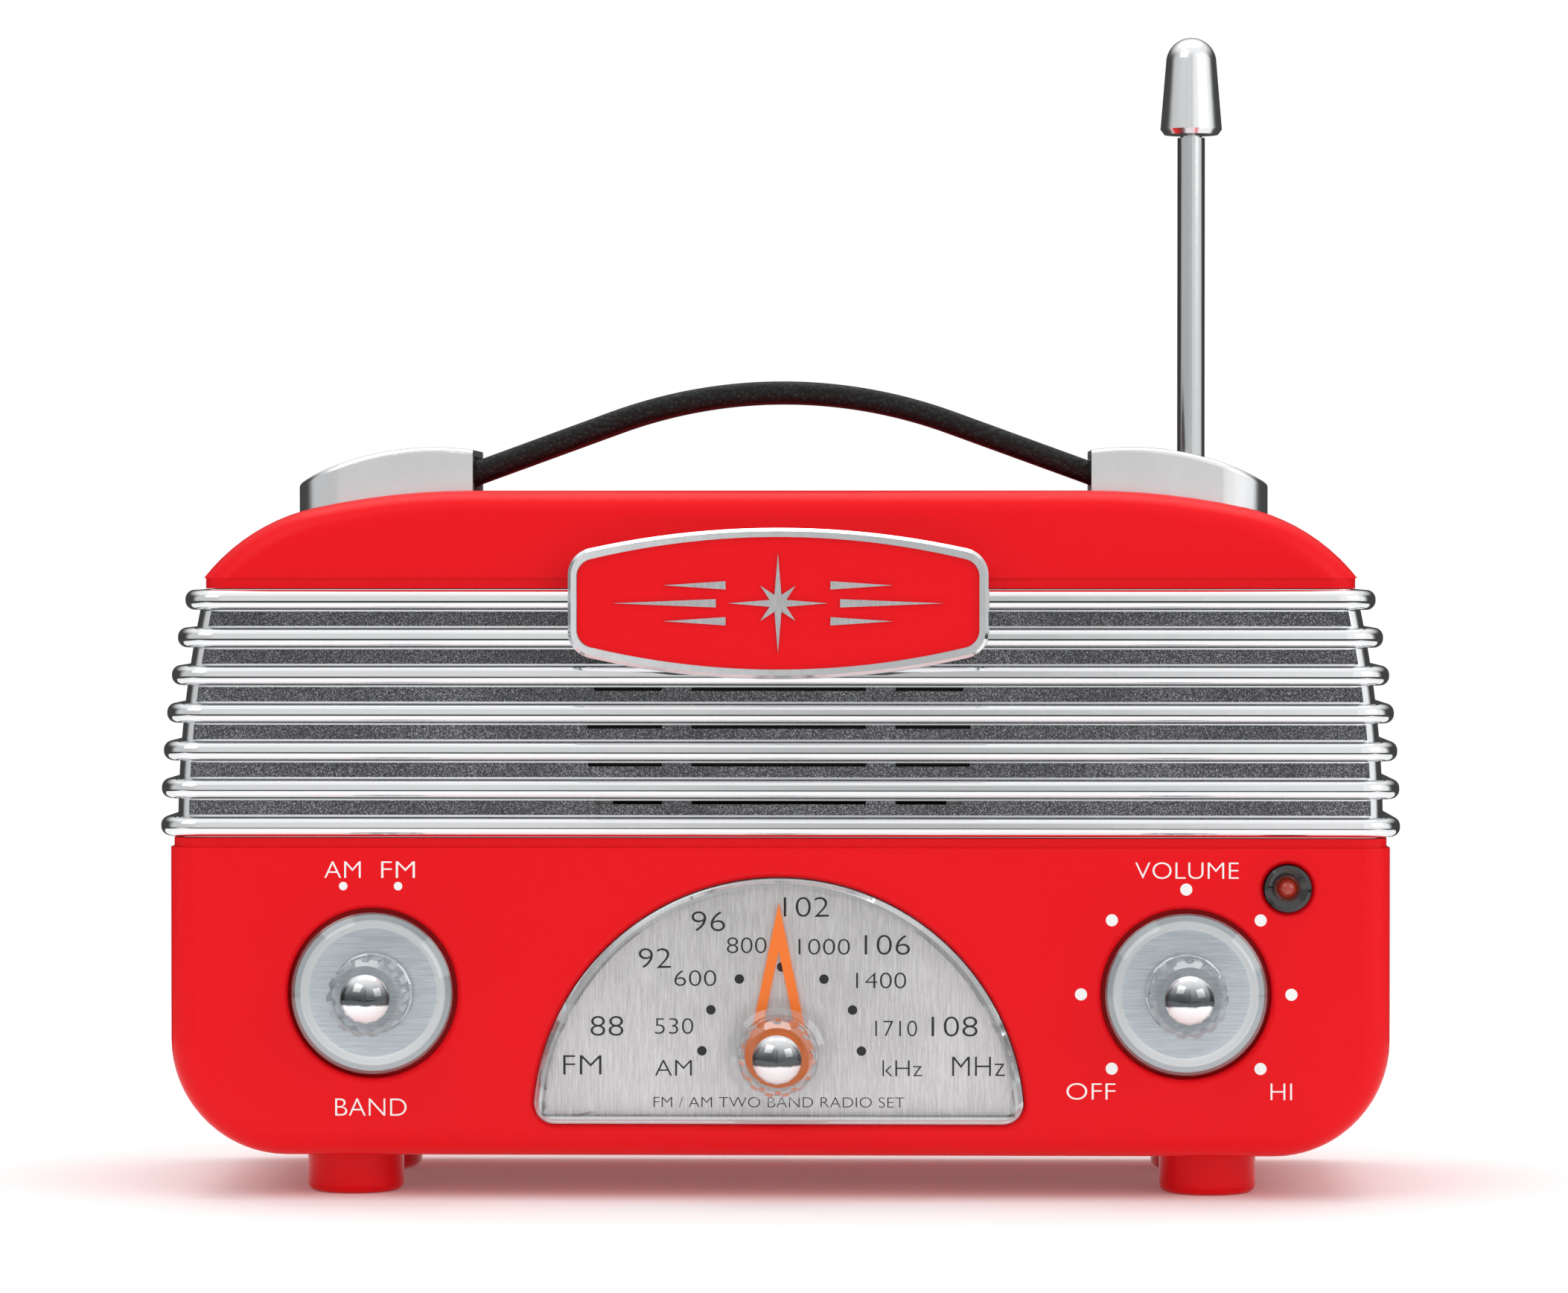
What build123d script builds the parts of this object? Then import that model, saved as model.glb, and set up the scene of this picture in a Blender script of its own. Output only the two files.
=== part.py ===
from build123d import *
import os
from math import asin, cos, radians, sin, sqrt, tan

# Retro portable AM/FM radio. Millimetres, +Z up, +X to the listener's right, +Y to the rear.
# The origin is on the table, under the middle of the box that holds the whole radio.
# "Depth" below is a distance behind the flat front of the lower case.

# Case
case_width = 178.0
case_depth = 62.0
wall = 2.4
foot_height = 6.3
lower_height = 46.5
corner_radius = 17.0
front_edge_radius = 4.0
lip_height = 1.4
lip_step = 0.5
shell_gap = 0.1

# Chrome band with bead ribs
band_wall = 1.8
band_inset = 1.0
band_side_radius = 157.0
band_corner_radius = 3.5
rib_count = 7
rib_pitch = 5.5
rib_height = 2.9
rib_reach = 2.15
rib_side_reach = 2.5
strip_height = 2.1
strip_recess = 0.25
strip_end_margin = 2.2
slot_height = 0.55

# Top cover
cover_height = 14.3
cover_inset = 1.5
cover_end_inset = 4.7
cover_lip_height = 1.5
cover_lip_step = 0.3
cover_flat_half = 45.0
shoulder_drop = 2.5
shoulder_from_end = 21.0
rear_cover_depth = 6.5
rear_edge_radius = 3.0
rear_wall = 2.2

# Knobs and their wells
knob_from_side = 29.8
knob_above_case = 23.9
knob_radius = 11.75
grip_radius = 5.65
grip_length = 10.2
cap_radius = 3.55
cap_rise = 1.9
cap_seat_depth = 0.8
flange_thickness = 2.0
flange_front = 1.1
rim_width = 1.6
flute_count = 14
flute_radius = 0.8
well_gap = 0.6
well_depth = 3.0
well_lip = 0.9
disc_rim = 0.35
disc_thickness = 0.5
disc_gap = 0.1
shaft_end = 2.2
shaft_end_gap = 0.1
control_front = 12.0
control_half = 8.0
bush_rim = 1.4
shaft_radius = 3.0
running_gap = 0.05
wall_hole_gap = 0.6

# Dial
dial_radius = 35.7
dial_above_case = 5.0
dial_corner = 3.0
dial_recess = 3.0
dial_border = 1.5
dial_gap = 0.15
lens_front = 1.2
lens_thickness = 1.5
plate_thickness = 0.6
tuning_above_dial = 10.1
tuning_flange_radius = 6.95
tuning_grip_radius = 5.5
tuning_grip_length = 6.6
tuning_flange_thickness = 1.2
tuning_flange_gap = 0.4
tuning_shaft_radius = 2.2
pointer_reach = 21.9
pointer_half_foot = 4.17
pointer_leg = 1.45
pointer_thickness = 0.7
pointer_hub_radius = 5.0

# Power light
led_from_side = 15.1
led_below_lip = 7.2
led_bezel_radius = 3.4
led_radius = 1.5
led_flange = 0.4
led_flange_length = 1.6
led_back_gap = 0.6
led_sink = 0.9

# Badge
badge_width = 60.9
badge_height = 21.8
badge_bow = 3.7
badge_corner = 3.9
badge_rim = 1.25
badge_front = 3.6
badge_plate_sink = 0.6
badge_plate_thickness = 0.9
badge_below_top = 5.5
badge_peg_radius = 1.5
badge_peg_lift = 4.6
badge_peg_share = 0.3

# Strap and its end blocks
strap_width = 14.0
strap_thickness = 3.2
strap_slope = 20.0
strap_crown = 14.9
strap_gap = 0.1
strap_end_reach = 57.0
strap_depth = 30.5
mount_width = 21.0
mount_inner_x = 46.0
mount_outer_x = 72.5
mount_rise = 6.2
mount_pocket_gap = 0.6
strap_pillar_radius = 2.5
strap_hole_gap = 0.4
strap_bend_radius = 9.0

# Antenna
antenna_x = 62.0
antenna_depth = 48.0
elbow_lift = 1.5
rod_radius = 2.1
rod_walls = (0.4, 0.35, 0.3)
rod_top = 54.7
tip_base_radius = 4.7
tip_top_radius = 3.8
tip_length = 14.8
groove_gap = 0.5
groove_end_x = -12.0
groove_wall = 2.0
bush_length = 7.5
fork_gap = 3.0
fork_ear = 1.6
fork_radius = 3.2
lug_radius = 2.6
elbow_clearance = 0.4
pin_radius = 1.0
stem_radius = 2.0
bush_wall = 1.5
bush_flange = 1.0

# Speaker, behind the slots
speaker_radius = 28.5
speaker_depth = 6.0
speaker_bar_width = 69.5
speaker_bar_height = 27.0
speaker_hole_x = 31.3
speaker_hole_z = 10.0
speaker_post_radius = 2.6
speaker_plate = 1.2
magnet_radius = 15.0
basket_depth = 10.0
magnet_length = 8.0

# Circuit board and battery
board_depth = 22.0
board_thickness = 1.6
board_half_width = 70.0
board_top = 36.5
board_boss_x = 42.0
board_boss_z = (12.5, 33.0)
cell_radius = 7.1
cell_length = 49.5
nub_radius = 2.7
nub_length = 1.0
cell_depth = 45.0
ferrite_radius = 4.0
ferrite_depth = 22.0
ferrite_below_roof = 5.6
cell_gap = 0.9
tray_half_length = 54.0
tray_wall = 1.5
door_ledge = 1.5
door_gap = 0.3
door_frame = 0.6
door_pin_radius = 0.6
door_pin_length = 1.2

# Feet and screws
foot_radius = 7.1
foot_from_side = 26.0
foot_depths = (15.0, 47.0)
foot_screw_head = 1.4
post_gap = 0.75
post_depths = (14.0, 47.5)
post_radius = 3.5
boss_radius = 3.2
screw_gap = 0.05
screw_play = 0.3

# Screws: head radius, head height, shank radius, length
joining_screw_size = (2.75, 2.2, 1.45, 52.0)
small_screw_size = (1.9, 1.4, 1.0, 7.0)
speaker_screw_size = (1.9, 1.4, 1.0, 3.8)
cover_screw_size = (2.5, 1.8, 1.25, 9.0)
foot_screw_size = (2.75, 1.8, 1.45, 7.0)

# Levels worked out from the sizes above
knob_reach = flange_front + grip_length + cap_rise
front_y = (knob_reach - case_depth) / 2
half_width = case_width / 2
case_z = foot_height
lower_top = case_z + lower_height
band_z = lower_top + shell_gap
band_height = (rib_count - 1) * rib_pitch + rib_height + 2 * shell_gap
band_top = band_z + band_height
cover_z = band_top + shell_gap
cover_top = cover_z + cover_height
seam_depth = case_depth - rear_cover_depth
first_rib_z = band_z + shell_gap + rib_height / 2
band_half = half_width - band_inset
cover_half = half_width - cover_end_inset
shoulder_x = half_width - shoulder_from_end
knob_x = half_width - knob_from_side
knob_z = case_z + knob_above_case
knob_top = flange_front + grip_length
knob_back = flange_front - flange_thickness
well_radius = knob_radius + well_gap
disc_radius = knob_radius - disc_rim
dial_z = case_z + dial_above_case
tuning_z = dial_z + tuning_above_dial
tuning_back = lens_front + tuning_flange_gap
tuning_front = tuning_back + tuning_flange_thickness
tuning_top = tuning_front + tuning_grip_length
led_x = half_width - led_from_side
led_z = lower_top - led_below_lip
badge_z = cover_top - badge_below_top - badge_height / 2
badge_peg_z = cover_z + badge_peg_lift
speaker_z = band_z + 2.5 * rib_pitch
foot_x = half_width - foot_from_side
elbow_z = cover_top + elbow_lift
groove_radius = tip_base_radius + groove_gap
cell_z = case_z + wall + door_gap + tray_wall + cell_gap + cell_radius
cover_boss_x = 40.0
cover_boss_z = cover_z + 5.0
case_boss_x = foot_x + 5.0
case_boss_z = case_z + 6.8
joining_head_z = case_z + 3.5
ferrite_z = cover_top - wall - ferrite_below_roof

# Antenna: a bush in the cover, a swivelling fork, and four tubes that slide in each other
bush_high = elbow_z - 4.5
bush_low = bush_high - bush_length
flange_low = bush_high + 0.3
fork_low = elbow_z - lug_radius - 0.5
rod_start = elbow_z + fork_radius + elbow_clearance
rod_end = cover_top + rod_top

# Battery door levels
cover_seat_depth = case_depth - cover_screw_size[1] - 1.0
door_half_width = tray_half_length + door_ledge
door_low = cell_z - cell_radius - cell_gap + 0.2
door_high = cell_z + cell_radius + cell_gap + door_ledge
door_thickness = rear_wall - 0.1
door_axis_depth = case_depth - door_thickness / 2
door_axis_z = door_low + door_gap + door_thickness / 2


def slab(sketch, near, far):
    """Extrude a front-view sketch between two depths."""
    return Pos(0, front_y + far, 0) * (Rot(90, 0, 0) * extrude(sketch, far - near))


def rod(x, z, radius, near, far):
    """Round bar along the depth."""
    return slab(Pos(x, z) * Circle(radius), near, far)


def post(x, depth, radius, low, high):
    """Upright round bar."""
    return Pos(x, front_y + depth, (low + high) / 2) * Cylinder(radius, high - low)


def block(x_range, depth_range, z_range):
    """Box between two values on each axis."""
    middle = [(low + high) / 2 for low, high in (x_range, depth_range, z_range)]
    sides = [high - low for low, high in (x_range, depth_range, z_range)]
    return Pos(middle[0], front_y + middle[1], middle[2]) * Box(*sides)


def turned(outline, x, z):
    """Turn an outline of (radius, distance ahead of the front) about a line along the depth."""
    face = make_face(outline)
    return Pos(x, front_y, z) * (Rot(180, 0, 0) * revolve(face, Axis.Y))


def mirrored_profile(half_edges):
    """Close a right half outline, from the middle line round to the middle line."""
    half = make_face(half_edges)
    return half + mirror(half, Plane.YZ)


def lower_profile(inset, top):
    height = top - case_z - inset
    sheet = Pos(0, case_z + inset + height / 2) * Rectangle(case_width - 2 * inset, height)
    return fillet(sheet.vertices().group_by(Axis.Y)[0], corner_radius - inset)


def lower_block(inset, top, far):
    """Outer form of the lower case, moved in by an inset, with its rounded front edge."""
    solid = slab(lower_profile(inset, top), inset, far)
    front = solid.faces().sort_by(Axis.Y)[0]
    edges = front.edges().filter_by(lambda edge: edge.center().Z < top - 0.01)
    return fillet(edges, max(front_edge_radius - inset, 0.8))


def band_side(z, inset=0.0):
    """Half width of the band at a height."""
    rise = z - band_z - 1.1
    return band_half - band_side_radius + sqrt(band_side_radius**2 - rise**2) - inset


# The joining posts stand just inside the band where it is narrowest, at its top
post_x = band_side(band_top) - band_wall - post_radius - post_gap


def band_profile(inset, low, high):
    right = [(band_side(z, inset), z) for z in (low, (low + high) / 2, high)]
    edges = [
        Line((0, low), right[0]),
        ThreePointArc(*right),
        Line(right[2], (0, high)),
        Line((0, high), (0, low)),
    ]
    return mirrored_profile(edges)


def band_block(inset, low, high, far):
    solid = slab(band_profile(inset, low, high), band_inset + inset, far)
    front = solid.faces().sort_by(Axis.Y)[0]
    edges = front.edges().filter_by(lambda edge: abs(edge.center().X) > band_half / 2)
    return fillet(edges, band_corner_radius - inset)


def cover_edges(inset, low, start):
    """Right half of the roof line, from its lower end to the middle."""
    shoulder = TangentArc(
        (cover_flat_half, cover_top - inset),
        (shoulder_x - inset, cover_top - shoulder_drop - inset),
        tangent=(1, 0),
    )
    end = TangentArc(shoulder @ 1, (start - inset, low), tangent=shoulder % 1)
    flat = Line((0, cover_top - inset), shoulder @ 0)
    return flat, shoulder, end


def roof_z(x):
    """Height of the roof's outer face at a distance from the middle, up to the shoulder."""
    run = shoulder_x - cover_flat_half
    radius = (run**2 + shoulder_drop**2) / (2 * shoulder_drop)
    past = max(x - cover_flat_half, 0)
    return cover_top - radius + sqrt(radius**2 - past**2)


def cover_block(inset, far):
    """Roof above its lip, moved in by an inset, with its rounded front edge."""
    low = cover_z + cover_lip_height
    flat, shoulder, end = cover_edges(inset, low, cover_half)
    edges = [flat, shoulder, end, Line(end @ 1, (0, low)), Line((0, low), flat @ 0)]
    solid = slab(mirrored_profile(edges), cover_inset + inset, far)
    front = solid.faces().sort_by(Axis.Y)[0]
    rounded = front.edges().filter_by(lambda edge: edge.center().Z > low + 0.01)
    return fillet(rounded, max(front_edge_radius - inset, 0.8))


def cover_lip(inset, low, far):
    """Short straight lip that closes the roof on the band."""
    step = cover_lip_step + inset
    high = cover_z + cover_lip_height
    side = cover_half - step
    solid = block((-side, side), (cover_inset + step, far), (low, high))
    front = solid.edges().filter_by(Axis.Z).group_by(Axis.Y)[0]
    return fillet(front, max(front_edge_radius - step, 0.8))


def screw(head_radius, head_height, shank_radius, length):
    """Pan head screw, head top at z = 0, pointing down, with a cross recess."""
    head = Pos(0, 0, -head_height / 2) * Cylinder(head_radius, head_height)
    head = fillet(head.edges().group_by(Axis.Z)[-1], head_height * 0.4)
    shank = Pos(0, 0, -head_height - length / 2) * Cylinder(shank_radius, length)
    slot = Box(head_radius * 1.1, head_radius * 0.25, head_height)
    return head + shank - slot - Rot(0, 0, 90) * slot


def screw_up(x, depth, z, *sizes):
    """A screw that points up from its head."""
    return Pos(x, front_y + depth, z) * Rot(180, 0, 0) * screw(*sizes)


def screw_forward(x, z, depth, *sizes):
    """A screw driven from the rear, its head top at a depth."""
    return Pos(x, front_y + depth, z) * Rot(-90, 0, 0) * screw(*sizes)


def dial_profile(inset):
    disc = Pos(0, dial_z) * Circle(dial_radius - inset)
    above = Pos(0, dial_z + inset + dial_radius) * Rectangle(4 * dial_radius, 2 * dial_radius)
    half = disc & above
    corners = half.vertices().group_by(Axis.Y)[0]
    return fillet(corners, max(dial_corner - inset, 0.5))


def badge_profile(inset):
    """Plate with straight ends and bowed long sides."""
    x = badge_width / 2 - inset
    middle = badge_height / 2 - inset
    end = middle - badge_bow
    outline = [
        Line((x, -end), (x, end)),
        ThreePointArc((x, end), (0, middle), (-x, end)),
        Line((-x, end), (-x, -end)),
        ThreePointArc((-x, -end), (0, -middle), (x, -end)),
    ]
    plate = make_face(outline)
    return Pos(0, badge_z) * fillet(plate.vertices(), max(badge_corner - inset, 0.6))


def make_lower_case():
    outer = lower_block(0, lower_top, seam_depth)
    shell = outer - lower_block(wall, lower_top + wall, seam_depth + wall)
    z_range = (lower_top - lip_height, lower_top + 1)
    lip_zone = block((-case_width, case_width), (-1, case_depth), z_range)
    shell -= lip_zone - lower_block(lip_step, lower_top + 1, case_depth)

    cups = Part()
    for x in (-knob_x, knob_x):
        cups += rod(x, knob_z, well_radius + wall, wall / 2, well_depth + wall)
    cups += slab(dial_profile(-dial_gap - wall), wall / 2, dial_recess + wall)
    cups += rod(led_x, led_z, led_bezel_radius + wall, wall / 2, 2 * wall)
    for x in (-post_x, post_x):
        for depth in post_depths:
            cups += post(x, depth, post_radius, case_z, lower_top)
    for x in (-foot_x, foot_x):
        for depth in foot_depths:
            cups += post(x, depth, boss_radius, case_z, case_z + 9.0)
    for x in (-case_boss_x, case_boss_x):
        x_range = (x - boss_radius, x + boss_radius)
        cups += block(x_range, (seam_depth - 14, seam_depth), (case_z, case_boss_z + boss_radius))
    for x in (-board_boss_x, board_boss_x):
        for z in board_boss_z:
            cups += rod(x, z, 3.0, wall / 2, board_depth)
    shell += cups & outer

    for x in (-knob_x, knob_x):
        shell -= rod(x, knob_z, well_radius, -1, well_depth)
        shell -= rod(x, knob_z, shaft_radius + wall_hole_gap, 0, well_depth + 2 * wall)
    shell -= slab(dial_profile(-dial_gap), -1, dial_recess)
    shell -= rod(0, tuning_z, tuning_shaft_radius + wall_hole_gap, 0, dial_recess + 2 * wall)
    shell -= rod(led_x, led_z, led_bezel_radius + running_gap, -1, 2 * wall + 1)
    mouths = shell.faces().sort_by(Axis.Y)[0].inner_wires()
    shell = fillet([edge for wire in mouths for edge in wire.edges()], well_lip)

    head_top = joining_head_z + joining_screw_size[1]
    for x in (-post_x, post_x):
        for depth in post_depths:
            shell -= post(x, depth, joining_screw_size[2] + screw_play, 0, lower_top + 1)
            shell -= post(x, depth, joining_screw_size[0] + screw_play, 0, head_top)
    for x in (-foot_x, foot_x):
        for depth in foot_depths:
            shell -= post(x, depth, foot_screw_size[2] + screw_gap, 0, case_z + 7.5)
    for x in (-case_boss_x, case_boss_x):
        shell -= rod(x, case_boss_z, cover_screw_size[2] + screw_gap, seam_depth - 11, seam_depth + 1)
    for x in (-board_boss_x, board_boss_x):
        for z in board_boss_z:
            shell -= rod(x, z, small_screw_size[2] + screw_gap, board_depth - 8, board_depth + 1)
    return shell


def make_rib(z):
    """One bead that runs round the front and both sides."""
    side = band_side(z) + rib_side_reach
    front = band_inset - rib_reach
    plate = block((-side, side), (front, seam_depth), (z - rib_height / 2, z + rib_height / 2))
    corners = plate.edges().filter_by(Axis.Z).group_by(Axis.Y)[0]
    plate = fillet(corners, band_corner_radius + rib_reach)
    rims = [edge for level in (0, -1) for edge in plate.faces().sort_by(Axis.Z)[level].edges()]
    rims = [edge for edge in rims if edge.center().Y < front_y + seam_depth - 0.01]
    return fillet(rims, rib_height * 0.46)


def make_grille_band():
    outer = band_block(0, band_z, band_top, seam_depth)
    core = band_block(band_wall, band_z - 1, band_top + 1, seam_depth + 1)
    band = outer
    for index in range(rib_count):
        band += make_rib(first_rib_z + index * rib_pitch)
    band -= core

    for index in range(rib_count - 1):
        z = first_rib_z + (index + 0.5) * rib_pitch
        side = band_side(z) - strip_end_margin
        z_range = (z - strip_height / 2, z + strip_height / 2)
        band -= block((-side, side), (-3, band_inset + strip_recess), z_range)

    for index in range(1, 5):
        z = first_rib_z + (index + 0.5) * rib_pitch - rib_pitch
        z += strip_height / 2 - slot_height / 2
        reach = sqrt(28.0**2 - (z - speaker_z) ** 2)
        z_range = (z - slot_height / 2, z + slot_height / 2)
        for x_range in ((-reach, -17.0), (-12.7, 12.7), (17.0, reach)):
            band -= block(x_range, (0, band_inset + band_wall + 1), z_range)

    ears = Part()
    for x in (-post_x, post_x):
        for depth in post_depths:
            inner = abs(x) - post_radius
            x_range = sorted((inner * x / abs(x), half_width * x / abs(x)))
            ears += block(x_range, (depth - post_radius, depth + post_radius), (band_z, band_z + 3.0))
    for x in (-speaker_hole_x, speaker_hole_x):
        for z in (-speaker_hole_z, speaker_hole_z):
            ears += rod(x, speaker_z + z, speaker_post_radius, band_inset + band_wall / 2, speaker_depth)
    band += ears & band_block(band_wall / 2, band_z, band_top, seam_depth)

    for x in (-post_x, post_x):
        for depth in post_depths:
            band -= post(x, depth, joining_screw_size[2] + screw_play, band_z - 1, band_z + 4)
    for x in (-speaker_hole_x, speaker_hole_x):
        for z in (-speaker_hole_z, speaker_hole_z):
            hole = small_screw_size[2] + screw_gap
            band -= rod(x, speaker_z + z, hole, band_inset + band_wall, speaker_depth + 1)
    band -= slab(badge_profile(-dial_gap), -5, band_inset)
    return band


def make_top_cover():
    outer = cover_block(0, seam_depth) + cover_lip(0, cover_z, seam_depth)
    hollow = cover_block(wall, seam_depth + 1) + cover_lip(wall, cover_z - 1, seam_depth + 1)
    cover = outer - hollow
    low_lip = cover_z + cover_lip_height
    side = cover_half - cover_lip_step - wall
    depth_range = (cover_inset + 2 * wall, seam_depth + 1)
    cover -= block((2 - side, side - 2), depth_range, (cover_z - 1, low_lip + 2))

    y_axis = front_y + antenna_depth
    length = antenna_x - groove_end_x
    middle_x = (antenna_x + groove_end_x) / 2
    trough = Pos(middle_x, y_axis, elbow_z) * Rot(0, 90, 0) * Cylinder(groove_radius + groove_wall, length)
    inside = trough + post(antenna_x, antenna_depth, groove_radius + groove_wall, elbow_z - 12, cover_top)
    for x in (-post_x, post_x):
        for depth in post_depths:
            inside += post(x, depth, post_radius, cover_z, cover_top)
    for x in (-cover_boss_x, cover_boss_x):
        x_range = (x - boss_radius, x + boss_radius)
        z_range = (cover_boss_z - boss_radius, cover_top - wall / 2)
        inside += block(x_range, (seam_depth - 14, seam_depth), z_range)
    cover += inside & outer
    for x in (-post_x, post_x):
        for depth in post_depths:
            cover += post(x, depth, post_radius, band_z + 3.0, cover_z + 0.5)

    groove = Pos(middle_x, y_axis, elbow_z) * Rot(0, 90, 0) * Cylinder(groove_radius, length)
    groove += Pos(groove_end_x, y_axis, elbow_z) * Sphere(groove_radius)
    cover -= groove
    cover -= post(antenna_x, antenna_depth, groove_radius, bush_high - bush_flange, cover_top + 5)
    cover -= post(antenna_x, antenna_depth, stem_radius + bush_wall, bush_low - 2, cover_top)
    for x in (-post_x, post_x):
        for depth in post_depths:
            top = joining_head_z + joining_screw_size[1] + joining_screw_size[3] + 2
            cover -= post(x, depth, joining_screw_size[2] + screw_gap, band_z, top)
    for x in (-cover_boss_x, cover_boss_x):
        cover -= rod(x, cover_boss_z, cover_screw_size[2] + screw_gap, seam_depth - 11, seam_depth + 1)
    for x in handle_screw_places():
        seat = handle_screw_seat(x)
        cover -= post(x, strap_depth, small_screw_size[2] + screw_play, seat - 1, cover_top + 1)
        cover -= post(x, strap_depth, small_screw_size[0] + screw_play, seat - 6, seat)
    for x in badge_peg_places():
        cover -= rod(x, badge_peg_z, badge_peg_radius + running_gap, 0, 12)
    return cover


def badge_peg_places():
    return (-badge_width * badge_peg_share, badge_width * badge_peg_share)


def handle_screw_places():
    middle = (mount_inner_x + strap_end_reach) / 2 + 2.0
    outer = mount_outer_x - 7.5
    return (-outer, -middle, middle, outer)


def handle_screw_seat(x):
    """Flat under the roof that a handle screw's head bears on."""
    return roof_z(abs(x) + small_screw_size[0]) - wall - 0.1


def make_badge_frame():
    frame = slab(badge_profile(0), -badge_front, cover_inset)
    front = frame.faces().sort_by(Axis.Y)[0]
    frame = chamfer(front.edges(), 0.45)
    floor = badge_plate_sink + badge_plate_thickness - badge_front
    frame -= slab(badge_profile(badge_rim), -badge_front - 1, floor)
    frame -= block((-badge_width, badge_width), (band_inset, 5), (band_z, band_top))
    for x in badge_peg_places():
        frame += rod(x, badge_peg_z, badge_peg_radius, 0, cover_inset + wall + 1)
    return frame


def make_badge_plate():
    far = -badge_front + badge_plate_sink + badge_plate_thickness
    return slab(badge_profile(badge_rim + 0.05), far - badge_plate_thickness, far)


def make_badge_ornament():
    """Starburst between two tapered bars."""
    far = -badge_front + badge_plate_sink
    points = []
    for index in range(16):
        reach = (7.2, 1.3, 3.6, 1.3)[index % 4]
        angle = radians(22.5 * index)
        points.append((reach * sin(angle), reach * cos(angle)))
    star = make_face(Polyline(*points, close=True))
    bars = Sketch()
    for offset, start, length in ((0, 9.0, 15.0), (2.6, 7.6, 9.0), (-2.6, 7.6, 9.0)):
        bar = Polyline((start, offset - 0.6), (start + length, offset), (start, offset + 0.6), close=True)
        bars += make_face(bar)
    bars += mirror(bars, Plane.YZ)
    return slab(Pos(0, badge_z) * (star + bars), far - 0.35, far)


def make_dial_lens():
    lens = slab(dial_profile(0), -lens_front, dial_recess - plate_thickness)
    front = lens.faces().sort_by(Axis.Y)[0]
    lens = chamfer(front.edges(), 0.7)
    lens -= slab(dial_profile(dial_border), lens_thickness - lens_front, dial_recess)
    return lens - rod(0, tuning_z, tuning_shaft_radius + 1.2, -5, 5)


def make_dial_plate():
    plate = slab(dial_profile(0.1), dial_recess - plate_thickness, dial_recess)
    return plate - rod(0, tuning_z, tuning_shaft_radius + wall_hole_gap, 0, 5)


def make_pointer():
    """Orange A-shaped hand on a round hub."""
    foot_z = pointer_hub_radius * 0.4
    tip_z = pointer_reach
    outer = Polyline((-pointer_half_foot, foot_z), (0, tip_z), (pointer_half_foot, foot_z), close=True)
    slope = (tip_z - foot_z) / pointer_half_foot
    half_inner = pointer_half_foot - pointer_leg
    inner_low = foot_z - slope * 0.5
    inner = Polyline(
        (-half_inner - 0.5, inner_low),
        (0, foot_z + slope * half_inner),
        (half_inner + 0.5, inner_low),
        close=True,
    )
    hand = make_face(outer) - make_face(inner) + Circle(pointer_hub_radius)
    hand -= Circle(tuning_shaft_radius)
    near = dial_recess - plate_thickness - 0.5 - pointer_thickness
    return slab(Pos(0, tuning_z) * hand, near, near + pointer_thickness)


def make_knob(x, z, back, front, rim, grip, top, shaft, shaft_top):
    """Clear knob: bevelled flange, fluted grip and a seat for the chrome cap."""
    seat = top - cap_seat_depth
    outline = Polyline(
        (shaft + running_gap, back),
        (rim, back),
        (rim, (back + front) / 2),
        (rim - rim_width * rim / knob_radius, front),
        (grip + 0.25, front),
        (grip, front + 0.6),
        (grip, top - 0.9),
        (grip - 0.9, top),
        (cap_radius + running_gap, top),
        (cap_radius + running_gap, seat),
        (0, seat),
        (0, shaft_top),
        (shaft + running_gap, shaft_top),
        close=True,
    )
    knob = turned(outline, x, z)
    reach = grip + flute_radius * 0.45
    for index in range(flute_count):
        angle = radians(360 * (index + 0.5) / flute_count)
        flute = rod(x + reach * cos(angle), z + reach * sin(angle), flute_radius, -top - 1, -front - 0.5)
        knob -= flute
    return knob


def dome(radius, base, rise):
    """Quarter outline of a round dome whose centre is on the turning line."""
    sphere = (radius**2 + rise**2) / (2 * rise)
    half_angle = asin(radius / sphere) / 2
    middle = (sphere * sin(half_angle), base + rise - sphere * (1 - cos(half_angle)))
    return ThreePointArc((radius, base), middle, (0, base + rise))


def make_cap(x, z, top):
    """Chrome dome on the end of a knob."""
    seat = top - cap_seat_depth
    outline = [
        Line((0, seat), (cap_radius, seat)),
        Line((cap_radius, seat), (cap_radius, top)),
        dome(cap_radius, top, cap_rise),
        Line((0, top + cap_rise), (0, seat)),
    ]
    return turned(outline, x, z)


def make_side_knob(x):
    sizes = (knob_back, flange_front, knob_radius, grip_radius, knob_top)
    return make_knob(x, knob_z, *sizes, shaft_radius, knob_top - shaft_end)


def make_tuning_knob():
    sizes = (tuning_back, tuning_front, tuning_flange_radius, tuning_grip_radius, tuning_top)
    return make_knob(0, tuning_z, *sizes, tuning_shaft_radius, tuning_top - shaft_end)


def make_knob_disc(x):
    """Flat aluminium plate behind the clear flange."""
    near = disc_gap - knob_back
    disc = rod(x, knob_z, disc_radius, near, near + disc_thickness)
    return disc - rod(x, knob_z, shaft_radius + running_gap, near - 1, near + disc_thickness + 1)


def make_shaft(x, z, radius, top):
    """Shaft from just under a knob's bore end to its control on the board."""
    return rod(x, z, radius, shaft_end + shaft_end_gap - top, board_depth - 3)


def make_control(x, z, body, bush_start, shaft):
    """A shaft control on the board: its body, its bush and the bore for the shaft."""
    control = body + rod(x, z, shaft + bush_rim, bush_start, control_front + 1)
    return control - rod(x, z, shaft + running_gap, 0, board_depth - 2.5)


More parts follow.
